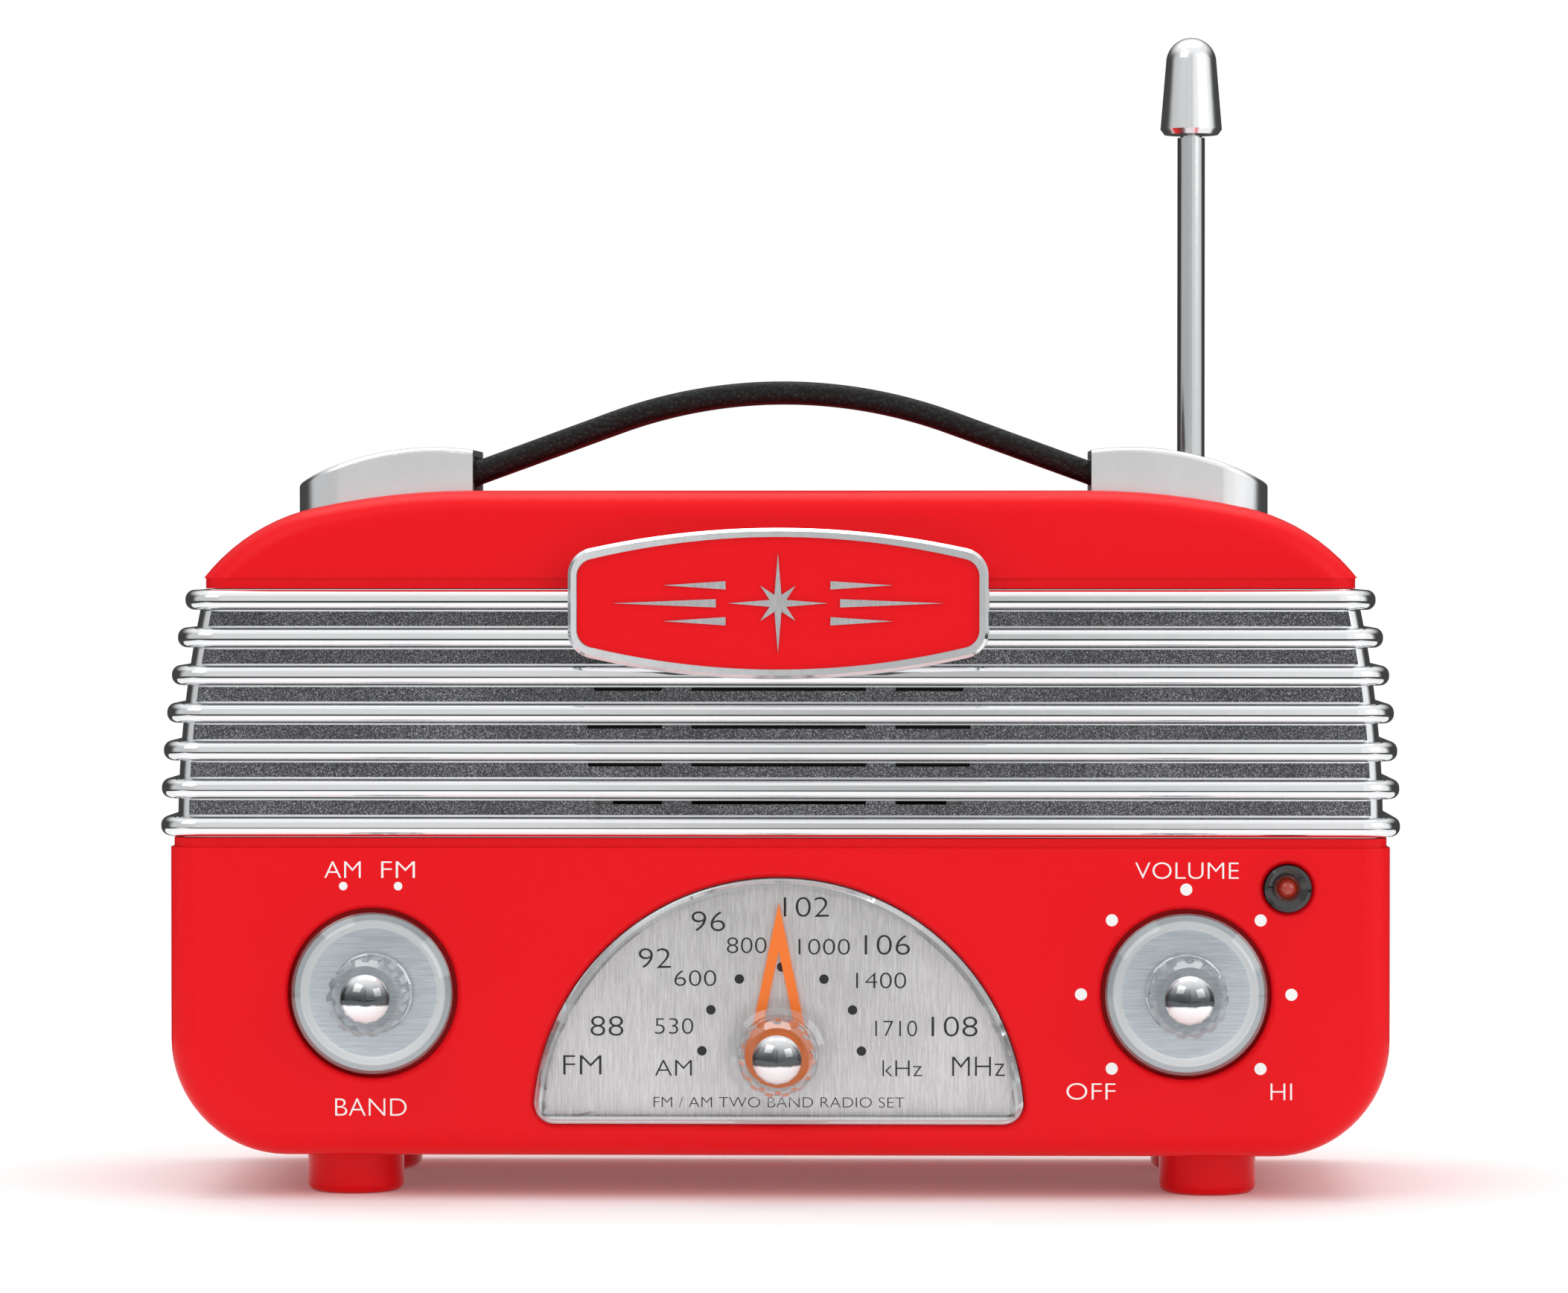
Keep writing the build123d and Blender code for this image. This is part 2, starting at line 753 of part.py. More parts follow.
def make_led_bezel():
    outline = Polyline(
        (led_radius + 0.35, 0.2),
        (led_bezel_radius - 0.5, 1.1),
        (led_bezel_radius, 0.7),
        (led_bezel_radius, -2 * wall),
        (led_radius + 0.35, -2 * wall),
        close=True,
    )
    return turned(outline, led_x, led_z)


def make_led_lamp():
    """Lamp with a flange behind the bezel and a round nose."""
    rim = led_radius + led_flange
    step = -2 * wall - led_back_gap
    back = step - led_flange_length
    outline = [
        Line((0, back), (rim, back)),
        Line((rim, back), (rim, step)),
        Line((rim, step), (led_radius, step)),
        Line((led_radius, step), (led_radius, -led_sink)),
        dome(led_radius, -led_sink, led_radius),
        Line((0, led_radius - led_sink), (0, back)),
    ]
    return turned(outline, led_x, led_z)


def make_foot_set():
    feet = []
    for x in (-foot_x, foot_x):
        for depth in foot_depths:
            foot = post(x, depth, foot_radius, 0, foot_height)
            foot = fillet(foot.edges().group_by(Axis.Z)[0], 1.2)
            foot -= post(x, depth, foot_screw_size[0] + screw_play, -1, 3.2)
            feet.append(foot - post(x, depth, foot_screw_size[2] + screw_gap, 0, foot_height + 1))
    return Compound(feet)


def strap_path():
    """Centre line of the strap: flat ends in the blocks, straight rises and a round crown."""
    slope = tan(radians(strap_slope))
    end_z = cover_top + strap_gap + strap_thickness / 2
    crown_z = cover_top + strap_crown
    start_x = mount_inner_x + strap_thickness
    peak_z = end_z + start_x * slope
    crown_radius = (peak_z - crown_z) / (1 / cos(radians(strap_slope)) - 1)
    points = [
        (-strap_end_reach, end_z),
        (-start_x, end_z),
        (0, peak_z),
        (start_x, end_z),
        (strap_end_reach, end_z),
    ]
    return FilletPolyline(*points, radius=[strap_bend_radius, crown_radius, strap_bend_radius])


def make_handle_strap():
    path = strap_path()
    section = trace(path, strap_thickness)
    strap = slab(section, strap_depth - strap_width / 2, strap_depth + strap_width / 2)
    for x in handle_screw_places()[1:3]:
        strap -= post(x, strap_depth, strap_pillar_radius + strap_hole_gap, cover_top - 1, cover_top + 9)
    return strap


def make_handle_mount(side):
    """Chrome end block, curved on top, with a pocket for the strap end."""
    top = cover_top + mount_rise
    outer_top = cover_top + 1.1
    low = cover_top - 6.0
    edges = [
        Line((mount_inner_x, low), (mount_outer_x, low)),
        Line((mount_outer_x, low), (mount_outer_x, outer_top)),
        ThreePointArc(
            (mount_outer_x, outer_top),
            (mount_outer_x - 8.6, cover_top + 4.8),
            (mount_inner_x, top),
        ),
        Line((mount_inner_x, top), (mount_inner_x, low)),
    ]
    near, far = strap_depth - mount_width / 2, strap_depth + mount_width / 2
    mount = slab(make_face(edges), near, far)
    corners = mount.edges().filter_by(Axis.Z).group_by(Axis.X)[-1]
    mount = fillet(corners, 7.0)
    top_edges = mount.faces().filter_by(lambda face: face.normal_at().Z > 0.5)[0].edges()
    mount = fillet([edge for edge in top_edges if edge.center().X > mount_inner_x + 0.1], 0.8)
    mount -= cover_block(0, seam_depth)
    half = strap_width / 2 + mount_pocket_gap
    pocket_top = cover_top + strap_gap + strap_thickness + mount_pocket_gap
    pocket = block(
        (mount_inner_x - 1, strap_end_reach + mount_pocket_gap),
        (strap_depth - half, strap_depth + half),
        (low, pocket_top),
    )
    mouth = block(
        (mount_inner_x - 1, mount_inner_x + 4),
        (strap_depth - half, strap_depth + half),
        (low, pocket_top + 1.4),
    )
    screw_x = handle_screw_places()[2:]
    pillar = post(screw_x[0], strap_depth, strap_pillar_radius, cover_top - 3, pocket_top + 0.5)
    pillar -= cover_block(0, seam_depth)
    mount = mount - pocket - mouth + pillar
    for x in screw_x:
        mount -= post(x, strap_depth, small_screw_size[2] + screw_gap, low, cover_top + 4.4)
    return mount if side > 0 else mirror(mount, Plane.YZ)


def make_handle_screws():
    screws = []
    for x in handle_screw_places():
        head_z = handle_screw_seat(x) - small_screw_size[1]
        screws.append(screw_up(x, strap_depth, head_z, *small_screw_size))
    return Compound(screws)


def antenna_post(radius, low, high):
    return post(antenna_x, antenna_depth, radius, low, high)


def across_elbow(radius, half_length):
    """Round bar across the elbow, along its hinge line."""
    bar = Rot(90, 0, 0) * Cylinder(radius, 2 * half_length)
    return Pos(antenna_x, front_y + antenna_depth, elbow_z) * bar


def elbow_slice(half_width, near, far, low, high):
    depth_range = (antenna_depth + near, antenna_depth + far)
    return block((antenna_x - half_width, antenna_x + half_width), depth_range, (low, high))


def make_antenna_bush():
    bush = antenna_post(stem_radius + bush_wall, bush_low, bush_high)
    bush += antenna_post(groove_radius - 0.4, bush_high - bush_flange, bush_high)
    return bush - antenna_post(stem_radius + running_gap, bush_low - 1, bush_high + 1)


def make_antenna_swivel():
    swivel = antenna_post(stem_radius, bush_low - 1.2, flange_low + 0.2)
    swivel += antenna_post(fork_gap / 2 + fork_ear + 1.0, flange_low, fork_low)
    swivel += antenna_post(stem_radius + 1.2, bush_low - 1.8, bush_low - 0.3)
    for near, far in ((fork_gap / 2, fork_gap / 2 + fork_ear), (-fork_gap / 2 - fork_ear, -fork_gap / 2)):
        ear = elbow_slice(fork_radius, near, far, fork_low - 0.3, elbow_z)
        round_top = across_elbow(fork_radius, fork_gap / 2 + fork_ear)
        ear += round_top & elbow_slice(fork_radius + 1, near, far, elbow_z - 1, elbow_z + fork_radius + 1)
        swivel += ear
    return swivel - across_elbow(pin_radius, fork_gap + fork_ear)


def make_elbow_pin():
    return across_elbow(pin_radius, fork_gap / 2 + fork_ear + 0.3)


def tube_radii():
    """Outer and inner radius of each tube, from the largest in."""
    radii = []
    outer = rod_radius
    for thickness in rod_walls:
        radii.append((outer, outer - thickness))
        outer = outer - thickness - running_gap
    radii.append((outer, 0))
    return radii


def make_section(index):
    outer, inner = tube_radii()[index]
    low = rod_start + (0 if index == 0 else 2.0 + 0.8 * index)
    high = rod_end - (0.4 if index == 0 else 0.1)
    if index == 3:
        return antenna_post(outer, low, rod_end + 3.0)
    tube = antenna_post(outer, low, high)
    bore_low = low + (1.6 if index == 0 else -1)
    tube -= antenna_post(inner, bore_low, rod_end + 1)
    if index == 0:
        half = fork_gap / 2 - 0.1
        lug = across_elbow(lug_radius, half)
        neck = elbow_slice(rod_radius - 0.4, -half, half, elbow_z, rod_start + 0.5)
        tube = tube + lug + neck - across_elbow(pin_radius + running_gap, fork_gap)
    return tube


def make_antenna_tip():
    base = rod_end + 0.1
    top = base + tip_length
    rise = tip_top_radius * 0.85
    round_start = top - rise
    edges = [
        Line((0, base), (tip_base_radius - 0.6, base)),
        Line((tip_base_radius - 0.6, base), (tip_base_radius, base + 0.8)),
        Line((tip_base_radius, base + 0.8), (tip_top_radius, round_start)),
        dome(tip_top_radius, round_start, rise),
        Line((0, top), (0, base)),
    ]
    tip = Pos(antenna_x, front_y + antenna_depth, 0) * revolve(Rot(90, 0, 0) * make_face(edges), Axis.Z)
    return tip - antenna_post(tube_radii()[3][0], base - 1, rod_end + 3.0)


def make_rear_cover():
    """Shallow rear shell with the battery tray, screw towers and vent slots."""
    low_corner = half_width - corner_radius
    flat, shoulder, end = cover_edges(0, cover_z + cover_lip_height, cover_half)
    side_top = end @ 1
    edges = [
        Line((0, case_z), (low_corner, case_z)),
        ThreePointArc(
            (low_corner, case_z),
            (low_corner + corner_radius * sqrt(0.5), case_z + corner_radius * (1 - sqrt(0.5))),
            (half_width, case_z + corner_radius),
        ),
        Line((half_width, case_z + corner_radius), (half_width, band_z)),
        TangentArc((half_width, band_z), side_top, tangent=(0, 1)),
        end,
        shoulder,
        flat,
        Line((0, cover_top), (0, case_z)),
    ]
    outline = mirrored_profile(edges)
    cover = slab(outline, seam_depth + shell_gap, case_depth)
    rear = cover.faces().sort_by(Axis.Y)[-1]
    cover = fillet(rear.edges(), rear_edge_radius)
    inner = offset(outline, -rear_wall, kind=Kind.INTERSECTION)
    cover -= slab(inner, seam_depth - 1, case_depth - rear_wall)

    for x, z in cover_screw_places():
        cover += rod(x, z, 4.2, seam_depth + shell_gap, case_depth - rear_wall / 2)
        cover -= rod(x, z, cover_screw_size[0] + screw_play, cover_seat_depth, case_depth + 1)
        cover -= rod(x, z, cover_screw_size[2] + screw_play, seam_depth - 1, case_depth)

    half = door_half_width + door_frame
    pocket = cell_radius + cell_gap
    tray_front = cell_depth - pocket
    inside_rear = case_depth - rear_wall
    z_range = (cell_z - pocket - tray_wall, door_high + door_frame)
    cover += block((-half, half), (tray_front - tray_wall, inside_rear + 0.1), z_range)
    z_range = (cell_z - pocket, cell_z + pocket)
    cover -= block((-tray_half_length, tray_half_length), (tray_front, case_depth + 1), z_range)
    x_range = (-door_half_width, door_half_width)
    cover -= block(x_range, (inside_rear, case_depth + 1), (door_low, door_high))
    for side in (-1, 1):
        x_range = sorted((side * (door_half_width - 1), side * (door_half_width + 1.4)))
        cover -= door_pin(x_range, door_pin_radius + running_gap)

    for index in range(11):
        x = (index - 5) * 6.0
        slot = Pos(x, band_z + 0.5 * band_height) * RectangleRounded(2.0, 20.0, 0.9)
        cover -= slab(slot, case_depth - rear_wall - 1, case_depth + 1)
    return cover


def door_pin(x_range, radius):
    length = x_range[1] - x_range[0]
    middle = (x_range[0] + x_range[1]) / 2
    return Pos(middle, front_y + door_axis_depth, door_axis_z) * Rot(0, 90, 0) * Cylinder(radius, length)


def make_battery_door():
    """Flush rear lid with a round lower edge, two pins and a finger notch."""
    half = door_half_width - door_gap
    depth_range = (case_depth - door_thickness, case_depth)
    door = block((-half, half), depth_range, (door_axis_z, door_high - door_gap))
    door += door_pin((-half, half), door_thickness / 2)
    door += door_pin((-half - door_pin_length, half + door_pin_length), door_pin_radius)
    notch = Pos(0, front_y + case_depth + 6.2, door_high - 3.4) * Rot(0, 90, 0) * Cylinder(7.5, 16.0)
    return door - notch


def make_cells():
    cells = []
    for index in range(2):
        start = -tray_half_length + 5.0 + index * (cell_length + nub_length + 0.2)
        body = Pos(start + cell_length / 2, 0, 0) * Rot(0, 90, 0) * Cylinder(cell_radius, cell_length)
        body = fillet(body.edges(), 0.8)
        nub = Rot(0, 90, 0) * Cylinder(nub_radius, nub_length)
        nub = Pos(start + cell_length + nub_length / 2, 0, 0) * nub
        cells.append(Pos(0, front_y + cell_depth, cell_z) * (body + nub))
    return Compound(cells)


def make_battery_spring():
    wire = Circle(0.4)
    start = -tray_half_length + 0.9
    path = Helix(1.3, 3.2, 3.4)
    coil = sweep(Plane(path @ 0, z_dir=path % 0) * wire, path, is_frenet=True)
    return Pos(start, front_y + cell_depth, cell_z) * Rot(0, 90, 0) * coil


def make_battery_plates():
    pocket = cell_radius + cell_gap
    depth_range = (cell_depth - pocket + 0.5, cell_depth + pocket - 0.5)
    z_range = (cell_z - pocket + 0.5, cell_z + pocket - 0.5)
    left = block((-tray_half_length, -tray_half_length + 0.4), depth_range, z_range)
    right = block((tray_half_length - 0.4, tray_half_length), depth_range, z_range)
    contact_x = -tray_half_length + 5.0 + 2 * (cell_length + nub_length) + 0.3
    depth_range = (cell_depth - 3, cell_depth + 3)
    bump = block((contact_x, tray_half_length - 0.4), depth_range, (cell_z - 3, cell_z + 3))
    return Compound([left, right + bump])


def make_speaker_frame():
    flange = Circle(speaker_radius) + RectangleRounded(speaker_bar_width, speaker_bar_height, 3.4)
    frame = slab(Pos(0, speaker_z) * flange, speaker_depth, speaker_depth + speaker_plate)
    basket = Polyline(
        (speaker_radius - 2.5, -speaker_depth - 1.0),
        (speaker_radius - 1.0, -speaker_depth - 1.0),
        (magnet_radius, -speaker_depth - basket_depth),
        (6.0, -speaker_depth - basket_depth),
        (6.0, -speaker_depth - basket_depth + 1.0),
        (magnet_radius - 1.2, -speaker_depth - basket_depth + 1.0),
        close=True,
    )
    frame -= rod(0, speaker_z, speaker_radius - 2.5, 0, speaker_depth + 5)
    frame += turned(basket, 0, speaker_z)
    for x in (-speaker_hole_x, speaker_hole_x):
        for z in (-speaker_hole_z, speaker_hole_z):
            frame -= rod(x, speaker_z + z, small_screw_size[2] + 0.2, 0, speaker_depth + 3)
    return frame


def make_speaker_cone():
    outer = speaker_radius - 2.6
    outline = Polyline(
        (outer, -speaker_depth - 0.2),
        (outer - 2.4, -speaker_depth - 0.2),
        (7.0, -speaker_depth - 6.6),
        (7.0, -speaker_depth - 7.1),
        (outer - 2.4, -speaker_depth - 0.8),
        (outer, -speaker_depth - 0.8),
        close=True,
    )
    return turned(outline, 0, speaker_z)


def make_dust_cap():
    base = -speaker_depth - 6.0
    rise = 2.3
    outline = [Line((0, base), (7.4, base)), dome(7.4, base, rise), Line((0, base + rise), (0, base))]
    return turned(outline, 0, speaker_z)


def speaker_screw_places():
    rows = (speaker_z - speaker_hole_z, speaker_z + speaker_hole_z)
    return [(x, z) for x in (-speaker_hole_x, speaker_hole_x) for z in rows]


def make_scrim():
    """Cloth behind the slots, between the speaker posts."""
    half = speaker_hole_x - speaker_post_radius - 0.2
    near = band_inset + band_wall
    return block((-half, half), (near, near + 0.6), (band_z + 6, band_top - 8))


def make_magnet():
    near = speaker_depth + basket_depth
    return rod(0, speaker_z, magnet_radius, near, near + magnet_length)


def make_speaker_screws():
    depth = speaker_depth + speaker_plate + speaker_screw_size[1]
    return make_screw_set(speaker_screw_places(), depth, speaker_screw_size)


def make_joining_screws():
    places = [(x, depth) for x in (-post_x, post_x) for depth in post_depths]
    return Compound([screw_up(*place, joining_head_z, *joining_screw_size) for place in places])


def make_foot_screws():
    places = [(x, depth) for x in (-foot_x, foot_x) for depth in foot_depths]
    return Compound([screw_up(*place, foot_screw_head, *foot_screw_size) for place in places])


def make_screw_set(places, depth, sizes):
    return Compound([screw_forward(x, z, depth, *sizes) for x, z in places])


def make_board_screws():
    places = [(x, z) for x in (-board_boss_x, board_boss_x) for z in board_boss_z]
    depth = board_depth + board_thickness + small_screw_size[1]
    return make_screw_set(places, depth, small_screw_size)


def cover_screw_places():
    places = [(x, case_boss_z) for x in (-case_boss_x, case_boss_x)]
    return places + [(x, cover_boss_z) for x in (-cover_boss_x, cover_boss_x)]


def make_cover_screws():
    depth = cover_seat_depth + cover_screw_size[1]
    return make_screw_set(cover_screw_places(), depth, cover_screw_size)


def make_board():
    low = case_z + wall + 0.6
    middle = (low + board_top) / 2
    sheet = Pos(0, middle) * Rectangle(2 * board_half_width, board_top - low)
    board = slab(sheet, board_depth, board_depth + board_thickness)
    for x in (-board_boss_x, board_boss_x):
        for z in board_boss_z:
            board -= rod(x, z, small_screw_size[2] + 0.4, 0, 30)
    return board


def make_if_transformers():
    back = board_depth + board_thickness
    cans = []
    for index in range(3):
        x = -28.0 + index * 10.0
        can = block((x - 3.5, x + 3.5), (back, back + 9.0), (28.5, 35.5))
        core = rod(x, 32.0, 2.0, back + 8.4, back + 9.6)
        cans.append(can - core)
    return Compound(cans)


def make_capacitors():
    back = board_depth + board_thickness
    cans = []
    for x, radius, length in ((10.0, 3.0, 10.0), (20.0, 4.0, 10.5), (32.0, 2.5, 8.0)):
        can = rod(x, 31.0, radius, back, back + length)
        cans.append(fillet(can.edges(), 0.4))
    return Compound(cans)


def make_audio_chip():
    back = board_depth + board_thickness
    return block((-62.0, -48.0), (back, back + 3.6), (27.0, 33.4))


def rod_along_x(radius, low, high):
    middle = (low + high) / 2
    return Pos(middle, front_y + ferrite_depth, ferrite_z) * Rot(0, 90, 0) * Cylinder(radius, high - low)


def make_ferrite_coil():
    coil = rod_along_x(ferrite_radius + 1.2, -12.0, 8.0)
    return coil - rod_along_x(ferrite_radius + running_gap, -13.0, 9.0)


def make_ferrite_holders():
    holders = []
    for x in (-36.0, 24.0):
        z_range = (ferrite_z - ferrite_radius - 1.2, cover_top - wall)
        depth_range = (ferrite_depth - ferrite_radius - 1.2, ferrite_depth + ferrite_radius + 1.2)
        holder = block((x, x + 5), depth_range, z_range)
        holders.append(holder - rod_along_x(ferrite_radius + running_gap, x - 1, x + 6))
    return Compound(holders)


volume_body = rod(knob_x, knob_z, control_half + 0.2, control_front, board_depth)
switch_body = block(
    (-knob_x - control_half, control_half - knob_x),
    (control_front, board_depth),
    (knob_z - control_half, knob_z + control_half),
)
tuning_body = block((-10.5, 10.5), (control_front, board_depth), (tuning_z - 9.5, tuning_z + 10.5))

nodes = {
    "lower_case": make_lower_case(),
    "grille_band": make_grille_band(),
    "top_cover": make_top_cover(),
    "rear_cover": make_rear_cover(),
    "battery_door": make_battery_door(),
    "feet": make_foot_set(),
    "foot_screws": make_foot_screws(),
    "joining_screws": make_joining_screws(),
    "rear_cover_screws": make_cover_screws(),
    "badge_frame": make_badge_frame(),
    "badge_plate": make_badge_plate(),
    "badge_ornament": make_badge_ornament(),
    "dial_plate": make_dial_plate(),
    "dial_lens": make_dial_lens(),
    "pointer": make_pointer(),
    "tuning_knob": make_tuning_knob(),
    "tuning_knob_cap": make_cap(0, tuning_z, tuning_top),
    "tuning_shaft": make_shaft(0, tuning_z, tuning_shaft_radius, tuning_top),
    "tuning_capacitor": make_control(0, tuning_z, tuning_body, dial_recess + wall, tuning_shaft_radius),
    "band_knob": make_side_knob(-knob_x),
    "band_knob_disc": make_knob_disc(-knob_x),
    "band_knob_cap": make_cap(-knob_x, knob_z, knob_top),
    "band_shaft": make_shaft(-knob_x, knob_z, shaft_radius, knob_top),
    "band_switch": make_control(-knob_x, knob_z, switch_body, well_depth + wall, shaft_radius),
    "volume_knob": make_side_knob(knob_x),
    "volume_knob_disc": make_knob_disc(knob_x),
    "volume_knob_cap": make_cap(knob_x, knob_z, knob_top),
    "volume_shaft": make_shaft(knob_x, knob_z, shaft_radius, knob_top),
    "volume_control": make_control(knob_x, knob_z, volume_body, well_depth + wall, shaft_radius),
    "led_bezel": make_led_bezel(),
    "led_lamp": make_led_lamp(),
    "handle_strap": make_handle_strap(),
    "handle_mount_left": make_handle_mount(-1),
    "handle_mount_right": make_handle_mount(1),
    "handle_screws": make_handle_screws(),
    "antenna_bush": make_antenna_bush(),
    "antenna_swivel": make_antenna_swivel(),
    "antenna_elbow_pin": make_elbow_pin(),
    "antenna_section_1": make_section(0),
    "antenna_section_2": make_section(1),
    "antenna_section_3": make_section(2),
    "antenna_section_4": make_section(3),
    "antenna_tip": make_antenna_tip(),
    "speaker_scrim": make_scrim(),
    "speaker_frame": make_speaker_frame(),
    "speaker_magnet": make_magnet(),
    "speaker_cone": make_speaker_cone(),
    "speaker_dust_cap": make_dust_cap(),
    "speaker_screws": make_speaker_screws(),
    "circuit_board": make_board(),
    "board_screws": make_board_screws(),
    "if_transformers": make_if_transformers(),
    "electrolytic_capacitors": make_capacitors(),
    "audio_chip": make_audio_chip(),
    "ferrite_rod": rod_along_x(ferrite_radius, -42.0, 34.0),
    "ferrite_coil": make_ferrite_coil(),
    "ferrite_holders": make_ferrite_holders(),
    "battery_cells": make_cells(),
    "battery_spring": make_battery_spring(),
    "battery_plates": make_battery_plates(),
}

os.makedirs("parts", exist_ok=True)
for name, solid in nodes.items():
    export_step(solid, f"parts/{name}.step")
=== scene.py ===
from math import cos, pi, radians, sin, tan
import bpy
from mathutils import Matrix, Vector


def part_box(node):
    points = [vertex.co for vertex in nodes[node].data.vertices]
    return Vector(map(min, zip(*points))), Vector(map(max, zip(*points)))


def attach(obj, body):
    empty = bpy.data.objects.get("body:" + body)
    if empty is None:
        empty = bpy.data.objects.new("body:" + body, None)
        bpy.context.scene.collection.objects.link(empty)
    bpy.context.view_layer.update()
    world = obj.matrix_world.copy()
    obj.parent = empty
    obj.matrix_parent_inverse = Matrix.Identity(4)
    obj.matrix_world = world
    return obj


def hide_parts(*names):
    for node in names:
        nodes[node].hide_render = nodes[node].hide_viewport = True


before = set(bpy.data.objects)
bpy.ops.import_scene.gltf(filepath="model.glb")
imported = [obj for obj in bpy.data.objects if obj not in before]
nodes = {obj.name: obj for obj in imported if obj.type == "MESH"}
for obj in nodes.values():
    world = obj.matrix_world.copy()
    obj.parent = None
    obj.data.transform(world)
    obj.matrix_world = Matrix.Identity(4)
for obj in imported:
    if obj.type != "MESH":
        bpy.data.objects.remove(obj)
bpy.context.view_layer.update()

# Retro portable radio: studio, finishes, strap and printed lettering around the fixed frame.
# Metres. x runs to the right, y to the rear, z up; the dial faces -y.


def middleOf(node):
    low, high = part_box(node)
    return (low + high) / 2


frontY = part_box("lower_case")[0].y
print("frame loaded:", len(nodes), "nodes")


# The camera stands straight in front, a little to the right and above the middle.

cameraSetup = {
    "distance": 0.850,       # from the front of the case
    "right": 0.0205,
    "height": 0.0945,
    "aimRight": 0.0008,
    "aimHeight": 0.0807,
    "lens": 134.4,
    "sensor": 36,
    "clip": 0.01,
}


def aimAt(thing, target):
    direction = Vector(target) - thing.location
    thing.rotation_euler = direction.to_track_quat("-Z", "Y").to_euler()


def buildCamera():
    spot = (cameraSetup["right"], frontY - cameraSetup["distance"], cameraSetup["height"])
    bpy.ops.object.camera_add(location=spot)
    camera = bpy.context.object
    camera.name = "frontCamera"
    camera.data.sensor_width = cameraSetup["sensor"]
    camera.data.lens = cameraSetup["lens"]
    camera.data.clip_start = cameraSetup["clip"]
    aimAt(camera, (cameraSetup["aimRight"], frontY, cameraSetup["aimHeight"]))
    bpy.context.scene.camera = camera
    print("camera: done")


# Shader wiring: a Wire is one socket, and sums on it add Math nodes.

class Wire:
    def __init__(self, tree, socket=None):
        self.tree = tree
        self.socket = socket

    def node(self, kind, settings=None, inputs=None, out=0):
        made = self.tree.nodes.new(kind)
        for key, value in (settings or {}).items():
            setattr(made, key, value)
        for key, value in (inputs or {}).items():
            if isinstance(value, Wire):
                self.tree.links.new(value.socket, made.inputs[key])
            else:
                made.inputs[key].default_value = value
        return Wire(self.tree, made.outputs[out] if len(made.outputs) else None)

    def maths(self, operation, first, second=0.0, third=0.0):
        return self.node("ShaderNodeMath", {"operation": operation}, {0: first, 1: second, 2: third})

    def axes(self):
        split = self.node("ShaderNodeSeparateXYZ", {}, {"Vector": self})
        return [Wire(self.tree, socket) for socket in split.socket.node.outputs]

    def __add__(self, other):
        return self.maths("ADD", self, other)

    def __radd__(self, other):
        return self.maths("ADD", other, self)

    def __sub__(self, other):
        return self.maths("SUBTRACT", self, other)

    def __rsub__(self, other):
        return self.maths("SUBTRACT", other, self)

    def __mul__(self, other):
        return self.maths("MULTIPLY", self, other)

    def __rmul__(self, other):
        return self.maths("MULTIPLY", other, self)

    def __truediv__(self, other):
        return self.maths("DIVIDE", self, other)

    def __pow__(self, other):
        return self.maths("POWER", self, other)

    def __lt__(self, other):
        return self.maths("LESS_THAN", self, other)


def solid(colour, share=1.0):       # three numbers made a full colour, darker by share
    return (*[share * part for part in colour], 1)


def startFinish(name, colour):
    finish = bpy.data.materials.new(name)
    finish.use_nodes = True
    finish.node_tree.nodes.clear()
    finish.diffuse_color = solid(colour)
    return finish, Wire(finish.node_tree)


def objectSpot(wire, stretch=None):
    spot = wire.node("ShaderNodeTexCoord", out=3)
    if stretch:
        return wire.node("ShaderNodeMapping", {}, {"Vector": spot, "Scale": stretch})
    return spot


def noise(wire, scale, detail=2.0, rough=0.5, at=None):
    at = at or objectSpot(wire)
    values = {"Vector": at, "Scale": scale, "Detail": detail, "Roughness": rough}
    return wire.node("ShaderNodeTexNoise", {}, values)


def blendColours(wire, factor, first, second):
    return wire.node("ShaderNodeMix", {"data_type": "RGBA"}, {0: factor, 6: first, 7: second}, 2)


def stepUp(wire, value, low, high):
    settings = {"interpolation_type": "SMOOTHSTEP"}
    return wire.node("ShaderNodeMapRange", settings, {"Value": value, "From Min": low, "From Max": high})


def bumpFrom(wire, height, distance):
    return wire.node("ShaderNodeBump", {}, {"Height": height, "Distance": distance, "Strength": 1.0})


def distanceFrom(wire, across, height):
    return wire.maths("SQRT", across * across + height ** 2)


def closeFinish(finish, wire, values):
    shader = wire.node("ShaderNodeBsdfPrincipled", {}, values)
    wire.node("ShaderNodeOutputMaterial", {}, {"Surface": shader})
    return finish


# Red moulded plastic of the case, feet and badge.

redValues = {
    "colour": (0.80, 0.0030, 0.0085),
    "deep": (0.76, 0.0022, 0.0070),
    "roughness": 0.24,
    "cloudScale": 38,
    "peelScale": 900,
    "fineScale": 5200,
    "peel": 0.000012,
    "sheen": 0.16,
}


def makeRedGloss():
    finish, wire = startFinish("redGlossPlastic", redValues["colour"])
    cloud = noise(wire, redValues["cloudScale"], 3)
    peel = noise(wire, redValues["peelScale"], 2) + noise(wire, redValues["fineScale"], 1) * 0.25
    rough = cloud * 0.07 + noise(wire, 2600, 2) * 0.05 + redValues["roughness"]
    return closeFinish(finish, wire, {
        "Base Color": blendColours(wire, cloud * 0.5, solid(redValues["colour"]), solid(redValues["deep"])),
        "Roughness": rough,
        "Specular IOR Level": redValues["sheen"],
        "Normal": bumpFrom(wire, peel, redValues["peel"]),
    })


# Chrome plating: plain, on the knobs' domes with a painted dark horizon reflection, and on the ribbed band.

chromeValues = {
    "bright": (0.91, 0.92, 0.93),
    "dull": (0.82, 0.835, 0.85),
    "hazeScale": 55,
    "scuffScale": 1500,
    "ripple": 0.00003,
}


